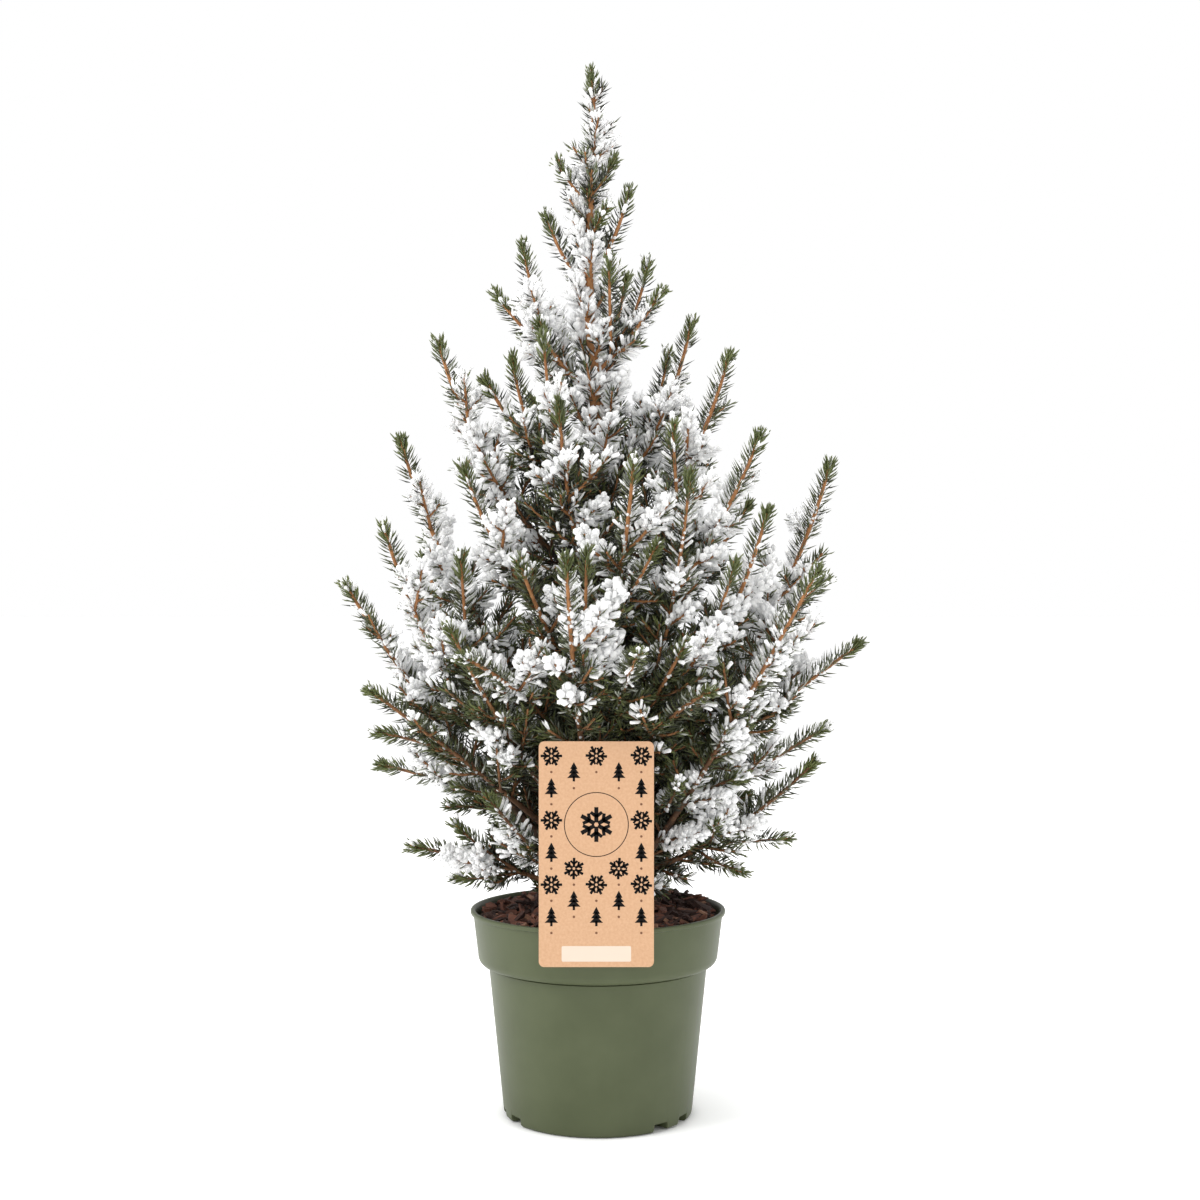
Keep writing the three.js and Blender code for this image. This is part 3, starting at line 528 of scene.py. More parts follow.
def frames(tangents):
    """Two unit directions square to each tangent. The first leans up as far as it can."""
    up = UP + np.array([0.013, 0.007, 0.0])
    rise = unit(up - tangents * (tangents @ up)[..., None])
    return rise, np.cross(tangents, rise)


def circle(count):
    """count angles once round."""
    return 2 * math.pi * np.arange(count) / count


def lattice_noise(points, seed=0):
    """Smooth noise from 0 to 1: random values on the corners of unit cubes, blended across each cube."""
    cell = np.floor(points).astype(np.int64)
    f = points - cell
    f = f * f * (3 - 2 * f)
    total = np.zeros(len(points))
    for corner in range(8):
        step = np.array([corner & 1, corner >> 1 & 1, corner >> 2 & 1])
        c = cell + step
        n = (c[:, 0] * 374761393 + c[:, 1] * 668265263 + c[:, 2] * 1274126177 + seed * 974634777) & MASK
        n = ((n ^ (n >> 13)) * 1103515245) & MASK
        value = ((n ^ (n >> 16)) & 0xFFFF) / 65535
        total += value * np.prod(np.where(step, f, 1 - f), axis=1)
    return total


def rings_round(middle, out, reach, ages):
    """Rings round a middle line, closed with a point at both ends: vertices, quads, triangles and ages.

    out holds the direction of each vertex from the middle line, reach its distance, ages each ring's age.
    """
    vertices = (middle[:, None] + out * reach[..., None]).reshape(-1, 3)
    ages = np.asarray(ages, float)
    return (np.concatenate([vertices, middle[[0, -1]]]), grid_faces(*reach.shape), end_fans(*reach.shape),
            np.concatenate([np.repeat(ages, reach.shape[1]), ages[[0, -1]]]))


def tube(path, radii, sides, ages, relief=None):
    """A tube of rings square to the path, closed with a point at both ends. relief adds to the radius."""
    side = np.array([1.0, 0.13, 0.02])
    rings = []
    for tangent in unit(np.gradient(path, axis=0)):
        side = side - tangent * side.dot(tangent)
        side /= np.linalg.norm(side)
        rings.append((side, np.cross(tangent, side)))
    e1, e2 = np.array(rings).transpose(1, 0, 2)[:, :, None]
    angle = circle(sides)[:, None]
    out = e1 * np.cos(angle) + e2 * np.sin(angle)
    reach = np.repeat(np.asarray(radii)[:, None], sides, axis=1)
    if relief is not None:
        reach = reach + relief(path[:, None] + out * reach[..., None])
    return rings_round(path, out, reach, ages)


def joined(parts):
    """Joins parts that begin with vertices, quads and triangles into one."""
    first = np.cumsum([0] + [len(part[0]) for part in parts])
    faces = [np.concatenate([part[i] + n for part, n in zip(parts, first)]) for i in (1, 2)]
    return np.concatenate([part[0] for part in parts]), faces


def wood_piece(name, tubes, material, **settings):
    """Tubes joined into one piece of wood, with the age of each vertex, which on low shoots holds painted
    shade too.
    """
    mesh_piece(name, *joined(tubes), material, slot="bark", ages=np.concatenate([t[3] for t in tubes]),
               **settings)


def closed_shapes(vertices, rings, sides):
    """Vertices and triangles of many small shapes, each given as its rings and then its two end points."""
    quads = grid_faces(rings, sides)
    one = np.concatenate([quads[:, [0, 1, 2]], quads[:, [0, 2, 3]], end_fans(rings, sides)])
    count, per = vertices.shape[:2]
    return vertices.reshape(-1, 3), (one[None] + per * np.arange(count)[:, None, None]).reshape(-1, 3)


def spindles(foot, direction, across, length, radius, shares, profile, sides, bow=0.0, rough=0.0, seed=0):
    """Spindles with a point at both ends: rings at shares of the length, of a radius given by profile.

    Each bows towards its own third axis by bow times its length at its middle. rough varies each
    vertex's distance from the middle line.
    """
    count, rings = len(foot), len(shares)
    third = np.cross(direction, across)
    angle = circle(sides)
    share = np.array([0.0, *shares, 1.0])
    middle = (foot[:, None] + direction[:, None] * (share[None, :, None] * length[:, None, None])
              + third[:, None] * (bow * 4 * share * (1 - share))[None, :, None] * length[:, None, None])
    reach = radius[:, None, None] * np.asarray(profile)[None, :, None] * np.ones(sides)
    if rough:
        reach = reach * (1 + rough * (np.random.default_rng(seed).random(reach.shape) - 0.5) * 2)
    ring = (middle[:, 1:-1, None]
            + across[:, None, None] * (reach * np.cos(angle))[..., None]
            + third[:, None, None] * (reach * np.sin(angle))[..., None])
    vertices = np.concatenate([ring.reshape(count, -1, 3), middle[:, [0]], middle[:, [-1]]], axis=1)
    return closed_shapes(vertices, rings, sides)


def pieces_of(name, vertices, faces, material, limit=180000):
    """Splits a field of needles or snow into pieces under the limit, each with its own vertices."""
    parts = max(1, math.ceil(len(faces) / limit))
    for part, chunk in enumerate(np.array_split(faces, parts)):
        low, high = chunk.min(), chunk.max() + 1
        label = f"{name}_{part + 1}" if parts > 1 else name
        mesh_piece(label, vertices[low:high], chunk - low, material, slot="needles")


# Materials


def add_node(tree, kind, values=None, **settings):
    """Adds one node: settings set its own options, values its input sockets."""
    node = tree.nodes.new(kind)
    for key, value in settings.items():
        setattr(node, key, value)
    for key, value in (values or {}).items():
        node.inputs[key].default_value = value
    return node


def plain_material(name, **values):
    """A material of one principled surface, with the sockets set by name."""
    material = bpy.data.materials.new(name)
    material.use_nodes = True
    tree = material.node_tree
    surface = tree.nodes["Principled BSDF"]
    for key, value in values.items():
        surface.inputs[key.replace("_", " ")].default_value = value
    return material, tree, surface


def noise_of(tree, size_mm, detail=3.0, stretch=(1, 1, 1)):
    """Noise over the object's own coordinates whose lumps are about size_mm across."""
    place = add_node(tree, "ShaderNodeTexCoord")
    mapping = add_node(tree, "ShaderNodeMapping", {"Scale": stretch})
    noise = add_node(tree, "ShaderNodeTexNoise",
                     {"Scale": 1000 / size_mm, "Detail": detail, "Roughness": 0.55})
    tree.links.new(place.outputs["Object"], mapping.inputs["Vector"])
    tree.links.new(mapping.outputs["Vector"], noise.inputs["Vector"])
    return noise.outputs["Fac"]


def ramp_between(tree, factor, stops):
    """A ramp of linear colours at shares of the factor."""
    ramp = add_node(tree, "ShaderNodeValToRGB")
    elements = ramp.color_ramp.elements
    while len(elements) < len(stops):
        elements.new(0.5)
    for element, (share, colour) in zip(elements, stops):
        element.position, element.color = share, colour
    tree.links.new(factor, ramp.inputs["Fac"])
    return ramp.outputs["Color"]


def colour_between(tree, factor, *stops):
    """A ramp of hex colours at shares of the factor."""
    return ramp_between(tree, factor, [(share, linear(colour)) for share, colour in stops])


def bump_from(tree, surface, height, depth_mm):
    """Shades the surface as if the height stood out from it by up to depth_mm."""
    bump = add_node(tree, "ShaderNodeBump", {"Strength": 1.0, "Distance": depth_mm * MM})
    tree.links.new(height, bump.inputs["Height"])
    tree.links.new(bump.outputs["Normal"], surface.inputs["Normal"])


def mottled(name, size_mm, stops, roughness, bump_mm=0.0, bump_size=None, **values):
    """A surface whose colour runs between stops by noise, with relief from a finer noise."""
    material, tree, surface = plain_material(name, Roughness=roughness, **values)
    tree.links.new(colour_between(tree, noise_of(tree, size_mm), *stops), surface.inputs["Base Color"])
    if bump_mm:
        bump_from(tree, surface, noise_of(tree, bump_size, 4.0), bump_mm)
    return material


def bark_by_age(name, scale_mm, relief_mm, stretch=(1, 1, 1)):
    """Spruce bark: thin, smooth and orange-tan on young wood, brown with grey-brown scales on old wood.

    The piece's own wood age, from 0 to 1, blends the two; on low shoots it also holds painted shade.
    """
    material, tree, surface = plain_material(name, Roughness=0.8)
    scales = noise_of(tree, scale_mm, stretch=stretch)
    old = colour_between(tree, scales, (0.25, "#2D1F16"), (0.55, "#4C3626"), (0.8, "#6F5136"))
    young = colour_between(tree, scales, (0.25, "#7D5030"), (0.55, "#9C6B3F"), (0.8, "#B78655"))
    age = add_node(tree, "ShaderNodeAttribute", attribute_name="wood_age_and_shade")
    blend = add_node(tree, "ShaderNodeMix", data_type="RGBA")
    # The mix of two colours has its factor at input 0, and its colours at 6 and 7
    for source, place in ((age.outputs["Fac"], 0), (young, 6), (old, 7)):
        tree.links.new(source, blend.inputs[place])
    tree.links.new(blend.outputs[2], surface.inputs["Base Color"])
    bump_from(tree, surface, noise_of(tree, 1.0, 4.0, stretch=stretch), relief_mm)
    return material


# Spruce needles, waxy leaves with a soft sheen, dark where they are old; near the trunk this dark colour is
# painted shade as well
old_and_shaded_needles = mottled("old spruce needles", 14, [(0.3, "#181A0F"), (0.7, "#2E3320")], 0.5)
# Spruce needles of middle age, the green that fills the shoots
green_needles = mottled("green spruce needles", 12, [(0.3, "#363C22"), (0.7, "#535930")], 0.48)
# New spruce needles at the shoot tips, fresh and a little yellow
new_needles = mottled("new spruce needles", 9, [(0.3, "#4A532A"), (0.7, "#68703E")], 0.45)
# Spruce needles under hoar frost: grey-green, matt, paler in patches
frosted_needles = mottled(
    "frosted spruce needles", 9, [(0.3, "#5E634C"), (0.52, "#93978A"), (0.72, "#D6D7D0")], 0.75)
# Flocked snow on needles: matt white fibre that light passes on through, so its shaded side stays
# pale. The faint glow is painted light that stands in for the many bounces inside it
snow_on_needles = mottled(
    "snow on needles", 7, [(0.3, "#F0F0F0"), (0.65, "#FAFAF9")], 0.9, 0.3, 1.1,
    Subsurface_Weight=0.9, Subsurface_Scale=0.006, Subsurface_Radius=(1.0, 1.0, 1.05),
    Emission_Color=linear("#F6F8FA"), Emission_Strength=0.06,
)
# Twigs have the smoothest bark, and the trunk has long scales that run up it
twig_bark = bark_by_age("twig bark", 3.0, 0.14)
limb_bark = bark_by_age("limb bark", 2.6, 0.32)
trunk_bark = bark_by_age("trunk bark", 3.4, 0.4, stretch=(1, 1, 0.45))
# Pot of moulded polypropylene, coloured olive green through, with a satin mould finish
pot_plastic = mottled("moulded polypropylene", 30, [(0.3, "#474E33"), (0.7, "#4E553A")], 0.45, 0.03, 1.6,
                      Specular_IOR_Level=0.3)
# Potting mix of composted bark: dark, crumbly, fully matt
potting_mix = mottled("potting mix", 3.0, [(0.3, "#1B120D"), (0.7, "#3E2A1E")], 0.95, 1.2, 2.0)
# Chips of composted bark, split along the grain, in three ages from nearly black to tan
dark_chips = mottled("dark bark chips", 5, [(0.3, "#281915"), (0.7, "#432B23")], 0.9, 0.3, 0.9)
red_chips = mottled("red bark chips", 5, [(0.3, "#472A21"), (0.7, "#764A38")], 0.88, 0.3, 0.9)
pale_chips = mottled("pale bark chips", 5, [(0.3, "#664636"), (0.7, "#956F57")], 0.85, 0.25, 0.9)
# Label of uncoated kraft board: pale peach fibre, matt
kraft_board = mottled("kraft board", 1.4, [(0.3, "#C29874"), (0.7, "#CCA482")], 0.85, 0.02, 0.5)
# Printing inks on the label, a little glossier than the board: near black, brown, and cream
dark_ink, _, _ = plain_material("dark printing ink", Base_Color=linear("#0B0807"), Roughness=0.8,
                                Specular_IOR_Level=0.2)
brown_ink, _, _ = plain_material("brown printing ink", Base_Color=linear("#6E462B"), Roughness=0.65)
pale_ink, _, _ = plain_material("pale printing ink", Base_Color=linear("#D8C8B6"), Roughness=0.7)


# Pot


def arc(x, z, reach, rise, angles):
    """Places on an ellipse round (x, z), by their angles from straight below it."""
    return [(x + reach * math.sin(a), z - rise * math.cos(a)) for a in angles]


def line(start, end, shares):
    """Places at shares of the way from start to end."""
    return [(start[0] + (end[0] - start[0]) * s, start[1] + (end[1] - start[1]) * s) for s in shares]


def pot_profile():
    """Radii and heights round the pot's wall, from the middle of the underside to that of the floor."""
    p, wall, ring = POT, POT["wall"], FEET["inner_radius"]
    body_foot, body_top = (p["body_foot"], p["foot_height"]), (p["body_top"], p["collar_foot"])
    collar_in, collar_low = p["collar_foot_radius"] - p["collar_round"], p["collar_foot"] + p["collar_rise"]
    collar_foot = (p["collar_foot_radius"], collar_low)
    lip_foot, groove, edge = p["height"] - p["lip_height"], p["groove"], 1.0
    foot = p["body_foot"] - 2.6
    return np.array([
        (0, 0.0), (ring, 0.0), (ring + 1, 0.0), (foot, 0.0),
        *arc(foot, p["foot_round"], p["foot_round"], p["foot_round"], np.linspace(0.35, 1.5, 6)),
        body_foot, *line(body_foot, body_top, np.linspace(0.04, 0.985, 22)),
        # The body meets the collar in a shallow groove
        (body_top[0] - groove, body_top[1] - groove), (body_top[0] - groove, body_top[1] - 0.1),
        (collar_in, body_top[1]),
        *arc(collar_in, collar_low, p["collar_round"], p["collar_rise"], np.linspace(0.25, math.pi / 2, 7)),
        *line(collar_foot, (p["collar_top"], lip_foot - 1.4), np.linspace(0.1, 0.95, 9)),
        # The lip steps out over the collar, and its outer edge is round
        (p["collar_top"], lip_foot - 0.9), (p["collar_top"] + 0.15, lip_foot - 0.4),
        (p["rim"] - 0.5, lip_foot), (p["rim"] - 0.12, lip_foot + 0.15), (p["rim"], lip_foot + 0.5),
        *arc(p["rim"] - edge, p["height"] - edge, edge, edge, np.linspace(math.pi / 2, math.pi, 6)),
        (p["rim"] - 2.0, p["height"]), (p["rim"] - 2.5, p["height"] - 0.35),
        # Down the inside
        (p["collar_top"] - wall, lip_foot), (collar_foot[0] - wall, collar_low),
        (collar_in - wall, body_top[1] + wall), (body_top[0] - wall, body_top[1] + wall - 0.4),
        *line((body_top[0] - wall, body_top[1]), (body_foot[0] - wall, 6), (0.3, 0.65, 1.0)),
        (p["floor_radius"] - wall, p["floor"]), (25, p["floor"]), (0, p["floor"]),
    ])


def make_pot():
    """The profile turned about Z. In three gaps of its foot ring the underside is lifted, with a tooth."""
    profile = pot_profile()
    middles = FEET["first_gap"] + 120 * np.arange(3)
    halves = [FEET["gap_width"] / 2, FEET["tooth_width"] / 2]
    angles = set(np.arange(0, 360, 2.0))
    for half in halves:
        for edge in (half - 0.35, half + 0.35):
            angles |= set((middles + edge) % 360) | set((middles - edge) % 360)
    angles = np.array(sorted(angles))
    off = abs((angles[:, None] - middles + 180) % 360 - 180)
    in_gap, in_tooth = [(off < half).any(1) for half in halves]
    lift = np.where(in_tooth, FEET["tooth_lift"], np.where(in_gap, FEET["lift"], 0.0))
    r, z = [np.repeat(profile[:, [i]], len(angles), axis=1) for i in (0, 1)]
    outside = np.arange(len(profile))[:, None] < np.argmax(profile[:, 1] > 6)
    ring = (r >= FEET["inner_radius"]) & outside
    z = np.where(ring, np.maximum(z, lift * np.clip(r - FEET["inner_radius"], 0, 1)), z)
    a = np.radians(angles)
    rings = np.stack([r * np.cos(a), r * np.sin(a), z], -1)[1:-1]
    vertices = np.concatenate([rings.reshape(-1, 3), [[0, 0, 0], [0, 0, POT["floor"]]]])
    faces = [grid_faces(*rings.shape[:2]), end_fans(*rings.shape[:2])]
    mesh_piece("moulded_pot", vertices, faces, pot_plastic, replaces=["pot"], slot="pot", crease=38)


# Soil


def soil_height(x, y):
    """The mix mounds up to the trunk, and is lumpy but for a place round the trunk."""
    r = np.hypot(x, y)
    mound = smooth_step(r, SOIL["crown_radius"], SOIL["mound_radius"])
    lumps = np.sin(0.31 * x + 1.2) * np.cos(0.27 * y - 0.6) + 0.6 * np.sin(0.52 * (x + y))
    return SOIL["crown"] + (SOIL["top"] - SOIL["crown"]) * mound + lumps * smooth_step(r, 12.6, 25.2)


def make_soil():
    """A round slab whose top is the mounded height, with fine crumbs, and whose underside is flat."""
    rings, sides = 56, 150
    radius = np.linspace(0, 1, rings + 1)[1:, None] * (SOIL["edge"] - 0.4)
    angle = circle(sides)
    x, y = radius * np.cos(angle), radius * np.sin(angle)
    crumbs = lattice_noise(np.stack([x, y, 0 * x], -1).reshape(-1, 3) / 2.2, 5).reshape(x.shape)
    z = soil_height(x, y) + 1.6 * (crumbs - 0.5)
    top = np.stack([x, y, z], -1)
    edge = top[-1:] * [1, 1, 0] + [0, 0, SOIL["underside"]]
    middles = [[0, 0, SOIL["crown"]], [0, 0, SOIL["underside"]]]
    vertices = np.concatenate([top.reshape(-1, 3), edge[0], middles])
    faces = [grid_faces(rings + 1, sides)[:, ::-1], end_fans(rings + 1, sides)[:, [1, 0, 2]]]
    mesh_piece("potting_mix", vertices, faces, potting_mix, replaces=["soil"], slot="soil")


# Half lengths of the chips, and the share of them that are longer by a factor
CHIPS = dict(count=1000, corners=6, shortest=2.0, longest=5.0, long_share=0.35, long_factor=1.8, trunk=9.0)
# The mix was filled a little higher at the back on the right
HEAP = dict(height=4.6, x=46.0, y=42.0, radius=22.0)


def make_chips():
    """Bark chips lie on the mix at any turn: flat splinters with a bevelled outline of six corners."""
    rng = np.random.default_rng(SEEDS["chips"])
    count, corners = CHIPS["count"], CHIPS["corners"]
    r = SOIL["edge"] * np.sqrt(rng.random(count))
    a = rng.random(count) * 2 * math.pi
    length = rng.uniform(CHIPS["shortest"], CHIPS["longest"], count)
    length = length * np.where(rng.random(count) < CHIPS["long_share"], CHIPS["long_factor"], 1.0)
    r = np.minimum(r, SOIL["edge"] - 0.4 - length)
    x, y = r * np.cos(a), r * np.sin(a)
    keep = r > CHIPS["trunk"] + length
    heap = HEAP["height"] * np.exp(-((x - HEAP["x"]) ** 2 + (y - HEAP["y"]) ** 2) / HEAP["radius"]**2)
    z = soil_height(x, y) + heap + rng.uniform(-0.2, 2.2, count)
    yaw, pitch, roll = rng.random(count) * 2 * math.pi, rng.normal(0, 0.34, count), rng.normal(0, 0.4, count)
    u = np.stack([np.cos(yaw) * np.cos(pitch), np.sin(yaw) * np.cos(pitch), np.sin(pitch)], -1)
    w = unit(np.stack([-np.sin(yaw), np.cos(yaw), np.tan(roll)], -1))
    w = unit(w - u * (u * w).sum(-1, keepdims=True))
    up = np.cross(u, w)
    corner = circle(corners)
    shape = 1 + rng.uniform(-0.28, 0.28, (count, corners))
    half_width = length * rng.uniform(0.22, 0.6, count)
    thick = up * rng.uniform(0.5, 1.3, count)[:, None]
    edge = (u[:, None] * (np.cos(corner) * shape * length[:, None])[..., None]
            + w[:, None] * (np.sin(corner) * shape * half_width[:, None])[..., None])
    centre = np.stack([x, y, z], -1)[:, None]
    thick = thick[:, None]
    vertices = np.concatenate([centre + edge - thick * 0.6, centre + edge * 0.86 + thick,
                               centre - thick * 0.8, centre + thick * 1.2], 1)[keep]
    tint = rng.random(keep.sum())
    for name, low, high, material in (("dark_bark_chips", 0, 0.5, dark_chips),
                                      ("red_bark_chips", 0.5, 0.9, red_chips),
                                      ("pale_bark_chips", 0.9, 1.01, pale_chips)):
        chosen = closed_shapes(vertices[(tint >= low) & (tint < high)], 2, corners)
        mesh_piece(name, *chosen, material, smooth=False, slot="soil")


# Label


def rounded_rectangle(low_x, high_x, low_z, high_z, radius, steps=6):
    """An upright rectangle with round corners, anticlockwise as the viewer in front sees it."""
    points = []
    for cx, cz, start in ((high_x - radius, high_z - radius, 0), (low_x + radius, high_z - radius, 1),
                          (low_x + radius, low_z + radius, 2), (high_x - radius, low_z + radius, 3)):
        for i in range(steps + 1):
            a = (start + i / steps) * math.pi / 2
            points.append((cx + radius * math.cos(a), cz + radius * math.sin(a)))
    return np.array(points)


def upright_plate(outline, front, back, bevel=0.0):
    """A flat plate in the XZ plane: the outline at two depths, with its front edge drawn in by a bevel."""
    n = len(outline)
    centre = outline.mean(0)
    drawn = centre + (outline - centre) * (1 - bevel / abs(outline - centre).max(0))
    loops = [(outline, back), (outline, front + bevel), (drawn, front), (centre[None], back),
             (centre[None], front)]
    vertices = np.concatenate([np.insert(o, 1, y, axis=1) for o, y in loops])
    return vertices, grid_faces(3, n)[:, ::-1], end_fans(3, n)


def make_label():
    """The card, and the stake behind it: up the card's back, over the rim and down inside the wall."""
    outline = rounded_rectangle(CARD_LOW_X, CARD_HIGH_X, LABEL["foot"], CARD_TOP, LABEL["corner"])
    card = upright_plate(outline, CARD_FRONT, CARD_BACK, 0.12)
    thick = LABEL["stake_thickness"]
    front, behind, inside = CARD_BACK + 0.05, CARD_BACK + thick, -LABEL["stake_inset"]
    over = POT["height"] + CLEARANCE + 2.6
    # The stake's section as (y, z), once round. Facing corners 0-9, 1-8, 2-7, 3-6 and 4-5 make its strips
    section = np.array([
        (front, LABEL["foot"] + 4), (behind, LABEL["foot"] + 4), (behind, over), (inside, over),
        (inside, LABEL["stake_foot"]), (inside + thick, LABEL["stake_foot"]), (inside + thick, over + thick),
        (behind, over + thick), (behind, LABEL["stake_top"]), (front, LABEL["stake_top"]),
    ])
    n = len(section)
    half = LABEL["stake_width"] / 2
    left, right = [np.insert(section, 0, LABEL["middle_x"] + side, axis=1) for side in (-half, half)]
    j = np.arange(n)
    sides = np.stack([j, j + n, (j + 1) % n + n, (j + 1) % n], -1)
    ends = np.array([[0, 9, 8, 7], [0, 7, 2, 1], [2, 7, 6, 3], [3, 6, 5, 4]])
    stake = (np.concatenate([left, right]), np.concatenate([sides, ends, ends[:, ::-1] + n]),
             np.zeros((0, 3), int))
    mesh_piece("label_card", *joined([card, stake]), kraft_board, replaces=["label"], slot="label",
               smooth=False)


def disc(x, z, radius, corners=14):
    """The outline of a disc."""
    a = circle(corners)
    return np.stack([x + radius * np.cos(a), z + radius * np.sin(a)], -1)


def bar(start, end, width):
    """The outline of a straight bar from start to end."""
    start, end = np.array(start), np.array(end)
    along = unit(end - start)
    side = np.array([-along[1], along[0]]) * width / 2
    return [end - side, end + side, start + side, start - side]


def snowflake(x, z, size, turn):
    """Six arms, each with two short barbs, as thin bars. All measures are shares of the size."""
    bars = []
    for i in range(6):
        a = turn + i * math.pi / 3
        c, s = math.cos(a) * size, math.sin(a) * size
        bars.append(bar((x + 0.12 * c, z + 0.12 * s), (x + c, z + s), 0.24 * size))
        for b in (a - 0.9, a + 0.9):
            px, pz, reach = x + c * 0.45, z + s * 0.45, size * 0.42
            bars.append(bar((px, pz), (px + math.cos(b) * reach, pz + math.sin(b) * reach), 0.19 * size))
    return bars


def small_tree(x, z, size):
    """A little tree of three stacked triangles on a stem."""
    shapes = [bar((x, z - 0.95 * size), (x, z - 0.4 * size), 0.24 * size)]
    for low, half in ((-0.6, 0.68), (-0.15, 0.54), (0.3, 0.38)):
        shapes.append([(x - half * size, z + low * size), (x + half * size, z + low * size),
                       (x, z + (low + 0.72) * size)])
    return shapes


def make_print():
    """Snowflakes and trees in five columns that step down, a bare round panel with a ring, and a strip."""
    columns, rows, column_width, row_height, margin = 5, 7, 12.3, 17.6, 8.0
    middle, foot = LABEL["middle_x"], LABEL["foot"]
    panel_height, panel, dot_radius = foot + 78.0, 17.5, 0.7
    dark, dots = [], []
    for column in range(columns):
        for row in range(rows):
            x = middle + column_width * (column - columns // 2)
            z = CARD_TOP - margin - row_height * (row + 0.5 * (column % 2))
            if z < foot + 19 or math.hypot(x - middle, z - panel_height) < panel + 6.5:
                continue
            dark += small_tree(x, z, 5.4) if (row + column) % 2 else snowflake(x, z, 5.9, 0.5 * column)
            dot = z - row_height / 2
            if dot > foot + 16 and math.hypot(x - middle, dot - panel_height) > panel + 3:
                dots.append(disc(x, dot, dot_radius))
    ring = disc(middle, panel_height, panel, 72)
    dark += [bar(*ends, 0.45) for ends in zip(ring, np.roll(ring, -1, axis=0))]
    dark += snowflake(middle, panel_height, 9.5, math.pi / 6)
    strip = rounded_rectangle(middle - 19, middle + 19, foot + 3, foot + 11.5, 0.8)
    for name, outlines, ink in (("label_dark_print", dark, dark_ink), ("label_brown_dots", dots, brown_ink),
                                ("label_pale_strip", [strip], pale_ink)):
        # Each outline is a thin plate of its own on the card's face
        plates = [upright_plate(np.asarray(o), CARD_FRONT - 0.04, CARD_FRONT + 0.02) for o in outlines]
        mesh_piece(name, *joined(plates), ink, smooth=False, slot="label")


# Wood: trunk, limbs and twigs


def bark_relief(points):
    """Scales stretched along Z: ridged noise, in millimetres out from the wood."""
    flat = points.reshape(-1, 3)
    coarse = lattice_noise(flat / np.array([2.2, 2.2, 5.0]), 3)
    fine = lattice_noise(flat / np.array([0.9, 0.9, 1.6]), 4)
    return (0.75 * (abs(2 * coarse - 1) - 0.4) + 0.35 * (fine - 0.5)).reshape(points.shape[:-1])


def make_trunk():
    """Level rings on the middle line, flared in four lobes at the foot, with scales of bark."""
    heights = np.concatenate([np.linspace(TRUNK_FOOT, 140, 60)[:-1], np.linspace(140, TRUNK_TOP, 260)])
    angle = circle(48)
    ring = np.interp(heights, TRUNK_TAPER[:, 0], np.arange(len(TRUNK_TAPER)))
    lobes = 1 + FLARE_DEPTH * np.clip(1 - ring / 3, 0, 1)[:, None] * np.cos(FLARE_LOBES * angle)
    radius = np.interp(heights, *TRUNK_TAPER.T)[:, None] * lobes
    out = np.stack([np.cos(angle), np.sin(angle), 0 * angle], -1)
    middle = trunk_middle(heights)
    relief = bark_relief(middle[:, None] + out * radius[..., None]) * np.clip(radius / 7, 0.45, 1)
    relief[0] = 0
    trunk = rings_round(middle, out, radius + relief, 1 - smooth_step(heights, 330, 470))
    wood_piece("trunk_bark", [trunk], trunk_bark, replaces=["trunk"])


def stem_tube(stem, t, sides, scale=1.0, swelling=0.0, relief=None):
    """A stretch of a stem's wood. It thickens with the distance from the tip, faster in the leader."""
    to_tip, path = stem.length * (1 - t), stem.points(t)
    slimming = WOOD["leader_slimming" if stem.leader else "slimming"]
    radii = np.minimum(WOOD["most"] + 0.3 * stem.leader, WOOD["tip"] + slimming * to_tip)
    return tube(path, radii * scale + swelling, sides, wood_age_and_shade(to_tip, path[:, 2]), relief)


def make_boughs(stems):
    """Each bough runs from the trunk's middle to where its mass begins, and on a little inside it."""
    boughs = {name: stem for name, stem in stems.items() if stem.bare}
    tubes = []
    for stem in boughs.values():
        t = np.linspace(0, stem.bare + 0.06, max(12, int(stem.length * stem.bare / 1.2)))
        swelling = 0.4 * np.clip(1 - t / stem.bare, 0, 1)
        tubes.append(stem_tube(stem, t, 20, 1.0, swelling, lambda p: 0.45 * bark_relief(p)))
    wood_piece("bough_bark", tubes, limb_bark, replaces=[f"bough_{name}" for name in boughs])


def make_twigs(stems, shoots):
    """Thin tubes, of eight sides along the older length of each stem, and of six or five elsewhere."""
    limbs, young = [], []
    for stem in stems.values():
        scale = 0.85 if stem.fork else 1.0
        cut = max(stem.bare, 1 - 95 / stem.length)
        if cut > stem.bare + 0.03:
            t = np.linspace(stem.bare, min(cut + 0.02, 1), max(4, int(stem.length * (cut - stem.bare) / 5)))
            limbs.append(stem_tube(stem, t, 8, scale))
        t = np.linspace(cut, 1, max(5, int(stem.length * (1 - cut) / 6)))
        young.append(stem_tube(stem, t, 6, scale * (1.0 if stem.leader else 0.95)))
    for shoot in shoots:
        t = np.linspace(0, 1, max(3, int(shoot.length / 7)))
        radii = 0.85 * (shoot.radii[0] + (shoot.radii[1] - shoot.radii[0]) * t)
        young.append(tube(shoot.points(t), radii, 5, shoot.age * (1 - 0.5 * t)))
    masses = [node for node in sorted(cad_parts) if node.startswith("mass_")]
    wood_piece("older_limbs", limbs, limb_bark)
    wood_piece("young_twigs", young, twig_bark, replaces=masses)


# Needles and snow

OLDEST_NEEDLES = 118.0  # The distance from the tip beyond which a stem has lost its own needles
NEEDLES_PER_MM = (3.3, 2.5, 2.2, 2.3)  # On stems, side shoots, fine shoots and buds
NEEDLE = dict(
    length=10.0, length_spread=2.4, shorter_at_tip=0.26, lean=1.02, lean_spread=0.36, closer_at_tip=0.42,
    bud_length=5.2, bud_length_spread=1.2, bud_lean=0.42, bud_lean_spread=0.4, upturn=0.12, jitter=0.09,
)
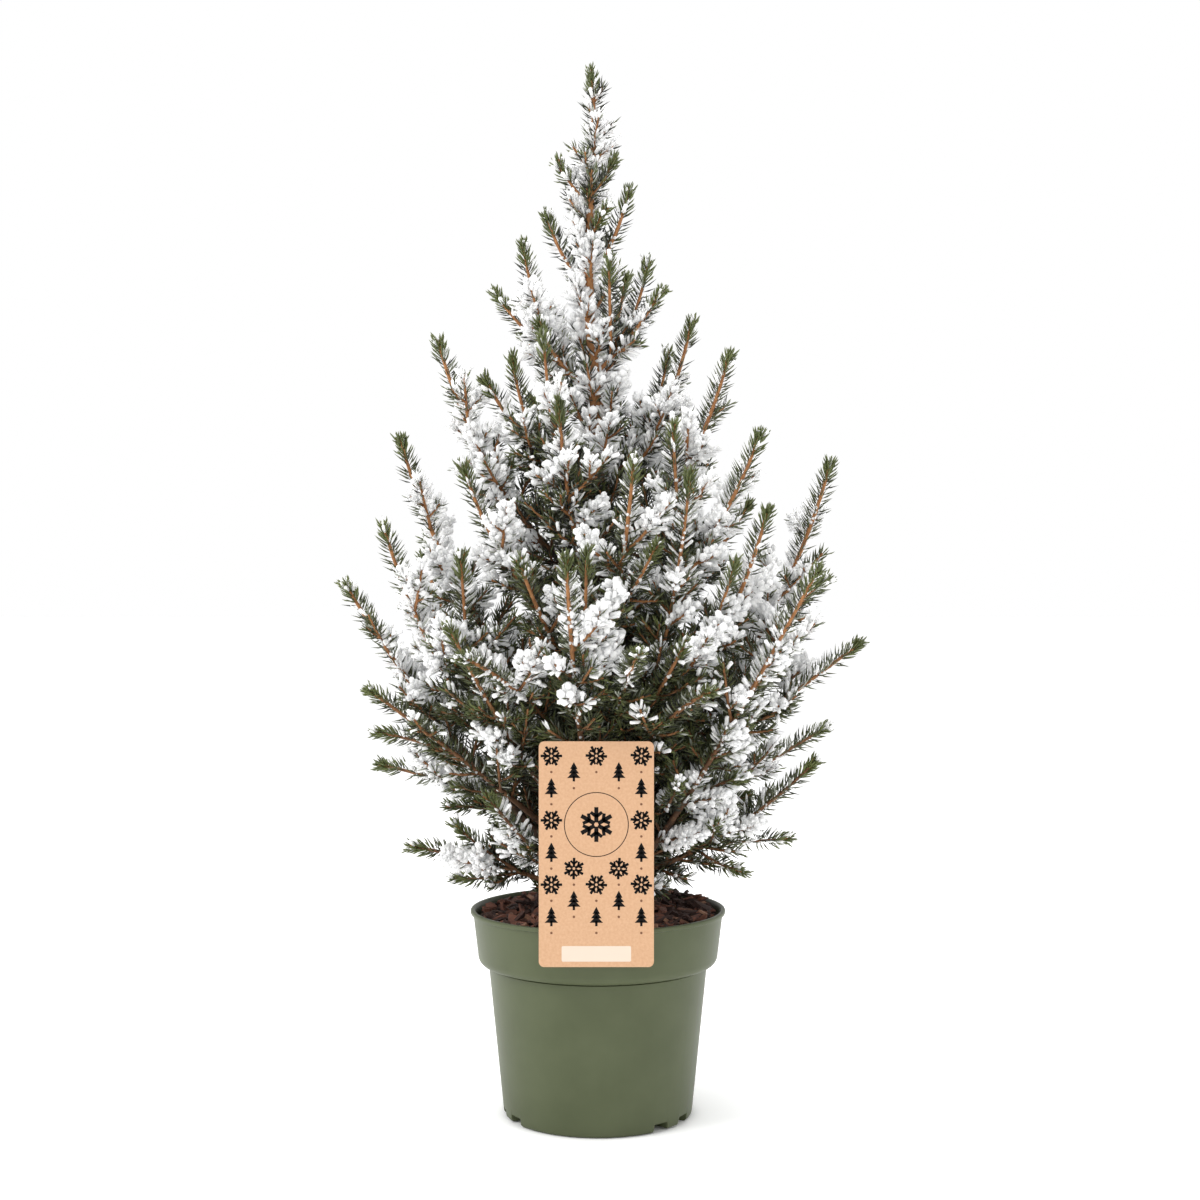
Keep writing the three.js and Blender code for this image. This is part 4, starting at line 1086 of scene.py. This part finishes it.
# Half of the width across each kind of needle and of snow, at its widest
HALF_WIDTH = dict(old=0.52, green=0.54, new=0.48, frosted=0.62, thin_snow=0.85, snow=0.95, snow_spread=0.45)
PUFF = dict(smallest=1.6, largest=3.0, sides=5)
CELL, CELLS = 7.0, 300  # Of the grid that exposure sorts the crown into, in millimetres and in number
# By height: the share of snow, the crown's radius, how far snow is spread, and how many needles stay
# on the label's side of stems and side shoots
SNOW_BY_HEIGHT = [120, 140, 165, 215, 400, 450, 500, 540, 580, 608], [
    0.2, 0.7, 1.0, 1.0, 1.0, 0.9, 0.75, 0.5, 0.4, 0.16]
CROWN_RADIUS = [120, 200, 300, 400, 500, 600], [120, 155, 150, 115, 75, 15]
SNOW_SPREAD = [250, 330, 400], [2.15, 2.05, 1.75]
NEEDLES_IN_FRONT = [260, 330, 480, 520], [0.85, 0.4, 0.3, 0.12]


def needle_places(twigs):
    """Needle feet along every twig, a golden angle apart, as arrays of places and directions."""
    rng = np.random.default_rng(SEEDS["needles"])
    golden = math.pi * (3 - math.sqrt(5))
    rows = []
    for index, twig in enumerate(twigs):
        start = 0.06 if twig.kind == SIDE_SHOOT else 0.0
        if twig.kind == STEM:
            start = max(twig.bare, min(0.4, 12 / twig.length), 1 - OLDEST_NEEDLES / twig.length)
        count = int(twig.length * (1 - start) * NEEDLES_PER_MM[twig.kind])
        if count < 2:
            continue
        t = start + (1 - start) * (np.arange(count) + 0.5 * rng.random(count)) / count
        angle = golden * np.arange(count) + rng.normal(0, 0.25, count) + rng.random() * 6.28
        tangent = unit(twig.points(np.minimum(t + 0.01, 1.01)) - twig.points(t - 0.01))
        rows.append((twig.points(t), tangent, angle, twig.length * (1 - t), np.full(count, twig.kind),
                     np.full(count, index), rng.random((count, 4))))
    return [np.concatenate(parts) for parts in zip(*rows)]


def exposure(places, crown):
    """How open to falling snow each place is, from 0 to 1.

    Seen from straight above and from ten sides at 35 degrees, the crown's points are sorted into cells of
    7 mm. A place counts as open on a side if it is close behind the frontmost point of its cell.
    """
    views = [(0.0, math.pi / 2, 3.0)] + [(0.2 * math.pi * i, 0.6, 1.0) for i in range(10)]
    total, weights = np.zeros(len(places)), 0.0
    for azimuth, rise, weight in views:
        ca, sa, cr, sr = math.cos(azimuth), math.sin(azimuth), math.cos(rise), math.sin(rise)
        basis = np.array([[-sa, ca, 0], [-ca * sr, -sa * sr, cr], [ca * cr, sa * cr, sr]])
        crown_cells, cells = [(points @ basis[:2].T / CELL).astype(int) + CELLS // 2
                              for points in (crown, places)]
        nearest = np.full((CELLS, CELLS), -1e9)
        np.maximum.at(nearest, tuple(crown_cells.T), crown @ basis[2])
        behind = nearest[tuple(cells.T)] - places @ basis[2]
        total += weight * (1 - smooth_step(behind, 5, 26))
        weights += weight
    return total / weights


def snow_amount(places, crown):
    """How much snow lies at a place, from 0 to 1.

    It is a noise of clumps times a noise of wider patches where the place is open to the snow, most in
    the middle heights of the crown, and less on the lowest shoots and at the crown's outside.
    """
    x, y, z = places.T
    outside = smooth_step(np.hypot(x, y) / np.interp(z, *CROWN_RADIUS), 0.5, 0.9)
    by_place = np.interp(z, *SNOW_BY_HEIGHT) * (1 - 0.48 * outside)
    clumps = smooth_step(lattice_noise(places / 12.0, 11), 0.37, 0.5)
    patches = smooth_step(lattice_noise(places / 36.0, 12), 0.2, 0.42)
    low_down = 0.05 * (1 - smooth_step(z, 260, 360))
    open_sky = smooth_step(exposure(places, crown) + low_down, 0.2, 0.45)
    return by_place * open_sky * (0.05 + 0.95 * clumps * (0.55 + 0.45 * patches))


def make_snow_flecks(places, tangent, luck):
    """Specks of snow, 1.2 to 2.4 mm across, on the pegs where the stems are bare of needles."""
    size = 0.6 + 0.6 * luck[:, 0]
    across = frames(tangent)[0]
    vertices, faces = spindles(places - tangent * size[:, None], tangent, across, 2 * size, size,
                               shares=(0.25, 0.75), profile=(0.85, 0.85), sides=5, rough=0.15, seed=8)
    pieces_of("snow_flecks", vertices, faces, snow_on_needles)


def place_needles(twigs):
    """Thins the needles and aims them: foot, direction, side, length, upper, to_tip, kind, index, luck.

    Each stands at 40 to 60 degrees on older wood and closer towards a tip, and bends up a little. Where
    a needle is left out of a stem, a fleck of snow may lie.
    """
    path, tangent, angle, to_tip, kind, index, luck = needle_places(twigs)
    rise, across = frames(tangent)
    upper = np.cos(angle)
    out = rise * upper[:, None] + across * np.sin(angle)[:, None]
    # Undersides are thin on needles, so bark shows there
    keep = luck[:, 0] < np.where(upper < -0.55, 0.4, np.where(upper < -0.2, 0.8, 1.0))
    # So they are on the label's side of stems and side shoots, where the bark shows between two rows
    shown = np.interp(path[:, 2], *NEEDLES_IN_FRONT)
    keep &= (out[:, 1] > -0.45) | (kind > SIDE_SHOOT) | (luck[:, 3] < shown)
    keep |= (kind == BUD) | (to_tip < 12)
    room = room_for(path)
    flecked = ~keep & room & (kind == STEM) & (to_tip > 22) & (luck[:, 1] < 0.3)
    make_snow_flecks(path[flecked] + out[flecked] * 1.3, tangent[flecked], luck[flecked])
    path, tangent, to_tip, kind, index, luck, out, upper = [
        a[keep & room] for a in (path, tangent, to_tip, kind, index, luck, out, upper)]

    n, bud, near_tip = NEEDLE, kind == BUD, 1 - smooth_step(to_tip, 3, 16)
    lean = n["lean"] + n["lean_spread"] * (luck[:, 1] - 0.5) - n["closer_at_tip"] * near_tip
    lean = np.where(bud, n["bud_lean"] + n["bud_lean_spread"] * (luck[:, 1] - 0.5), lean)
    direction = tangent * np.cos(lean)[:, None] + out * np.sin(lean)[:, None]
    direction = unit(direction + UP * n["upturn"] + n["jitter"] * (luck[:, 1:4] - 0.5))
    length = (n["length"] + n["length_spread"] * (luck[:, 0] - 0.5)) * (1 - n["shorter_at_tip"] * near_tip)
    length = np.where(bud, n["bud_length"] + n["bud_length_spread"] * (luck[:, 0] - 0.5), length)
    side = unit(np.cross(tangent, out))
    return path, path + out * 0.5, direction, side, length, upper, to_tip, kind, index, luck


def snow_on(twigs, path, to_tip, kind, index):
    """The amount of snow at each needle. A short shoot tends to be laden as a whole, or hardly at all."""
    amount = snow_amount(path, path)
    load = smooth_step(snow_amount(np.array([twig.points(0.65) for twig in twigs]), path), 0.2, 0.5)[index]
    amount = np.where((kind == SIDE_SHOOT) | (kind == FINE_SHOOT), 0.6 * amount + 0.4 * load, amount)
    # Needles on the stems themselves stay clear for a stretch, longer below the crown's top
    clear = np.interp(path[:, 2], [430, 500], [1.45, 1.0])
    amount *= np.where(kind == STEM, 0.12 + 1.0 * smooth_step(to_tip, 20 * clear, 62 * clear), 0.95)
    return amount * np.where(kind == BUD, 0.25, 1.0)


def make_needles(twigs):
    """Needles and their snow.

    Each needle is bare, frosted or in snow by the amount of snow at its place and by how far it faces
    up. Snow is a fat sleeve round the needle, and round puffs that rest on it.
    """
    path, foot, direction, side, length, upper, to_tip, kind, index, luck = place_needles(twigs)
    amount = snow_on(twigs, path, to_tip, kind, index)
    on_stem, facing = kind == STEM, 0.5 + 0.5 * smooth_step(upper, -0.6, 0.35)
    # The luck that thinned the label's side isn't asked again
    snowy = luck[:, 2] < amount * facing * np.interp(path[:, 2], *SNOW_SPREAD)
    # High in the crown the snow lies thinner on each needle, and the shoots show through it
    light = smooth_step(path[:, 2], 320, 400)
    slim_snow = snowy & (luck[:, 1] < np.where(on_stem, 0.7, 0.3 + 0.35 * light))
    snowy &= ~slim_snow
    bare = ~snowy & ~slim_snow
    at_tip = (on_stem & (to_tip < 10)) | (kind == BUD)
    dusting = 0.03 + 0.24 * smooth_step(amount, 0.05, 0.6) + 0.08 * (upper > 0)
    frosty = bare & (luck[:, 0] < dusting * np.where(at_tip, 0.4, 1.0))
    fresh = bare & ~frosty & (at_tip | ((to_tip < 5) & (luck[:, 2] < 0.5)))
    # Needles near the trunk are more often dark than green: partly their age, partly painted shade of the
    # crown's inside
    outward = smooth_step(np.hypot(path[:, 0], path[:, 1]) / 120, 0.2, 0.7)
    green = bare & ~frosty & ~fresh & (luck[:, 1] < 0.25 + 0.6 * outward)
    # Under its snow a needle is green as well, and shows at its foot
    old = ~frosty & ~fresh & ~green

    slim = dict(shares=(0.1, 0.72), profile=(0.8, 1.0), sides=3, bow=-0.05)
    plain = dict(shares=(0.4,), profile=(1.0,), sides=3, bow=-0.05)
    for name, chosen, material, width, shape in (
            ("old_and_shaded_needles", old, old_and_shaded_needles, HALF_WIDTH["old"], plain),
            ("green_needles", green, green_needles, HALF_WIDTH["green"], plain),
            ("new_needles", fresh, new_needles, HALF_WIDTH["new"], slim),
            ("frosted_needles", frosty, frosted_needles, HALF_WIDTH["frosted"], slim),
            ("thin_snow_on_needles", slim_snow, snow_on_needles, HALF_WIDTH["thin_snow"], slim)):
        vertices, faces = spindles(foot[chosen], direction[chosen], side[chosen], length[chosen],
                                   np.full(chosen.sum(), width), **shape)
        pieces_of(name, vertices, faces, material)
    bare_foot = (0.08 + 0.22 * luck[snowy][:, 0]) * length[snowy]
    vertices, faces = spindles(
        foot[snowy] + direction[snowy] * bare_foot[:, None], direction[snowy], side[snowy],
        length[snowy] * 1.03 - bare_foot, HALF_WIDTH["snow"] + HALF_WIDTH["snow_spread"] * luck[snowy][:, 0],
        shares=(0.1, 0.88), profile=(0.85, 1.0), sides=4, bow=-0.04, rough=0.2, seed=5)
    pieces_of("snow_on_needles", vertices, faces, snow_on_needles)

    # Puffs of snow rest along the needles, but only far out on those that hang, and are largest where the
    # most snow lies
    rng = np.random.default_rng(SEEDS["puffs"])
    seat = np.flatnonzero((snowy | slim_snow) & (kind != BUD))
    laden = smooth_step(amount[seat], 0.25, 0.75) * np.where(on_stem[seat], 0.45, 1.0)
    laden *= 1 - 0.5 * light[seat]
    seat = seat[rng.random(len(seat)) < (0.55 + 0.3 * (upper[seat] > 0.1)) * laden]
    share = rng.uniform(np.where(upper[seat] > 0.1, 0.2, 0.45), 0.95)
    size = rng.uniform(PUFF["smallest"], PUFF["largest"], len(seat))
    size = size * (0.75 + 0.25 * smooth_step(amount[seat], 0.3, 0.9))
    centre = foot[seat] + direction[seat] * (share * length[seat])[:, None] + UP * 0.7
    vertices, faces = spindles(
        centre - direction[seat] * size[:, None], direction[seat], side[seat], 2.0 * size,
        size * rng.uniform(0.8, 1.0, len(size)), shares=(0.16, 0.5, 0.84), profile=(0.72, 1.0, 0.72),
        sides=PUFF["sides"], rough=0.12, seed=6)
    pieces_of("snow_puffs", vertices, faces, snow_on_needles)


# The plant in its pot

stems = grow_stems()
open_limbs = [stems[name].points(np.linspace(0.1, share, 30)) for name, share in OPEN_LIMBS.items()]
shoots = grow_side_shoots(stems) + grow_fine_shoots(stems, open_limbs) + grow_trunk_shoots(open_limbs)
shoots += grow_twiglets(shoots, open_limbs)
shoots += grow_tip_tufts(stems)

make_pot()
make_soil()
make_chips()
make_label()
make_print()
make_trunk()
make_boughs(stems)
make_twigs(stems, shoots)
make_needles(list(stems.values()) + shoots)


# Floor, light and camera


def add_object(name, data):
    """An object of the data, linked to the scene."""
    made = bpy.data.objects.new(name, data)
    bpy.context.scene.collection.objects.link(made)
    return made


def make_floor():
    """A plain white floor of lit acrylic, just under the pot's foot.

    It glows a little, but less within 0.15 m of the pot's middle and not at all under the pot: a painted
    soft shadow that the pot stands in.
    """
    half, level = 30.0, -0.0002
    material, tree, surface = plain_material(
        "white studio floor", Base_Color=linear("#FFFFFF"), Roughness=0.9, Emission_Color=(1, 1, 1, 1))
    place = add_node(tree, "ShaderNodeTexCoord")
    reach = add_node(tree, "ShaderNodeVectorMath", operation="LENGTH")
    tree.links.new(place.outputs["Object"], reach.inputs[0])
    # Painted shadow: the floor's glow falls to nothing at the pot's foot
    stops = [(metres, (value, value, value, 1))
             for metres, value in ((0.054, 0.0), (0.06, 0.29), (0.15, 0.36))]
    tree.links.new(ramp_between(tree, reach.outputs["Value"], stops), surface.inputs["Emission Strength"])
    mesh = bpy.data.meshes.new("studio_floor")
    mesh.from_pydata([(x * half, y * half, level) for x, y in ((-1, -1), (1, -1), (1, 1), (-1, 1))], [],
                     [(0, 1, 2, 3)])
    mesh.materials.append(material)
    add_object("studio_floor", mesh)


def add_light(name, place, size, watts, target=(0, 0, 0.3)):
    """A square area light that faces the target."""
    light = bpy.data.lights.new(name, "AREA")
    light.energy, light.size = watts, size
    x, y, z = np.array(target, float) - np.array(place, float)
    lamp = add_object(name, light)
    lamp.location = place
    lamp.rotation_euler = (math.atan2(z, math.hypot(x, y)) + math.pi / 2, 0, math.atan2(y, x) - math.pi / 2)


def make_studio():
    """The floor, three soft lights, a white surround, and a level camera at the photograph's place."""
    make_floor()
    add_light("soft_top_left", (-1.2, -0.6, 1.3), 0.8, 16)
    add_light("soft_top", (0.1, 0.1, 1.7), 1.0, 15)
    add_light("soft_right", (1.3, -0.7, 0.8), 0.9, 3)
    # White walls all round up to 20 degrees, and a dimmer ceiling above the lamps
    world = bpy.data.worlds.new("white studio")
    world.use_nodes = True
    tree = world.node_tree
    way = add_node(tree, "ShaderNodeTexCoord")
    parts = add_node(tree, "ShaderNodeSeparateXYZ")
    tree.links.new(way.outputs["Generated"], parts.inputs["Vector"])
    shade = ramp_between(tree, parts.outputs["Z"], [(0.36, (1, 1, 1, 1)), (0.7, (0.55, 0.55, 0.55, 1))])
    tree.links.new(shade, tree.nodes["Background"].inputs["Color"])
    scene = bpy.context.scene
    scene.world = world
    scene.view_settings.view_transform = "Standard"
    camera = bpy.data.cameras.new("photo_camera")
    # A lens of 1766 pixels over an image of 1200
    camera.sensor_width, camera.lens = 36.0, 36.0 * 1766 / 1200
    camera.clip_end = 100
    scene.camera = add_object("photo_camera", camera)
    scene.camera.location = (0.0012, -1.043, 0.3014)
    scene.camera.rotation_euler = (math.pi / 2, 0, 0)


make_studio()
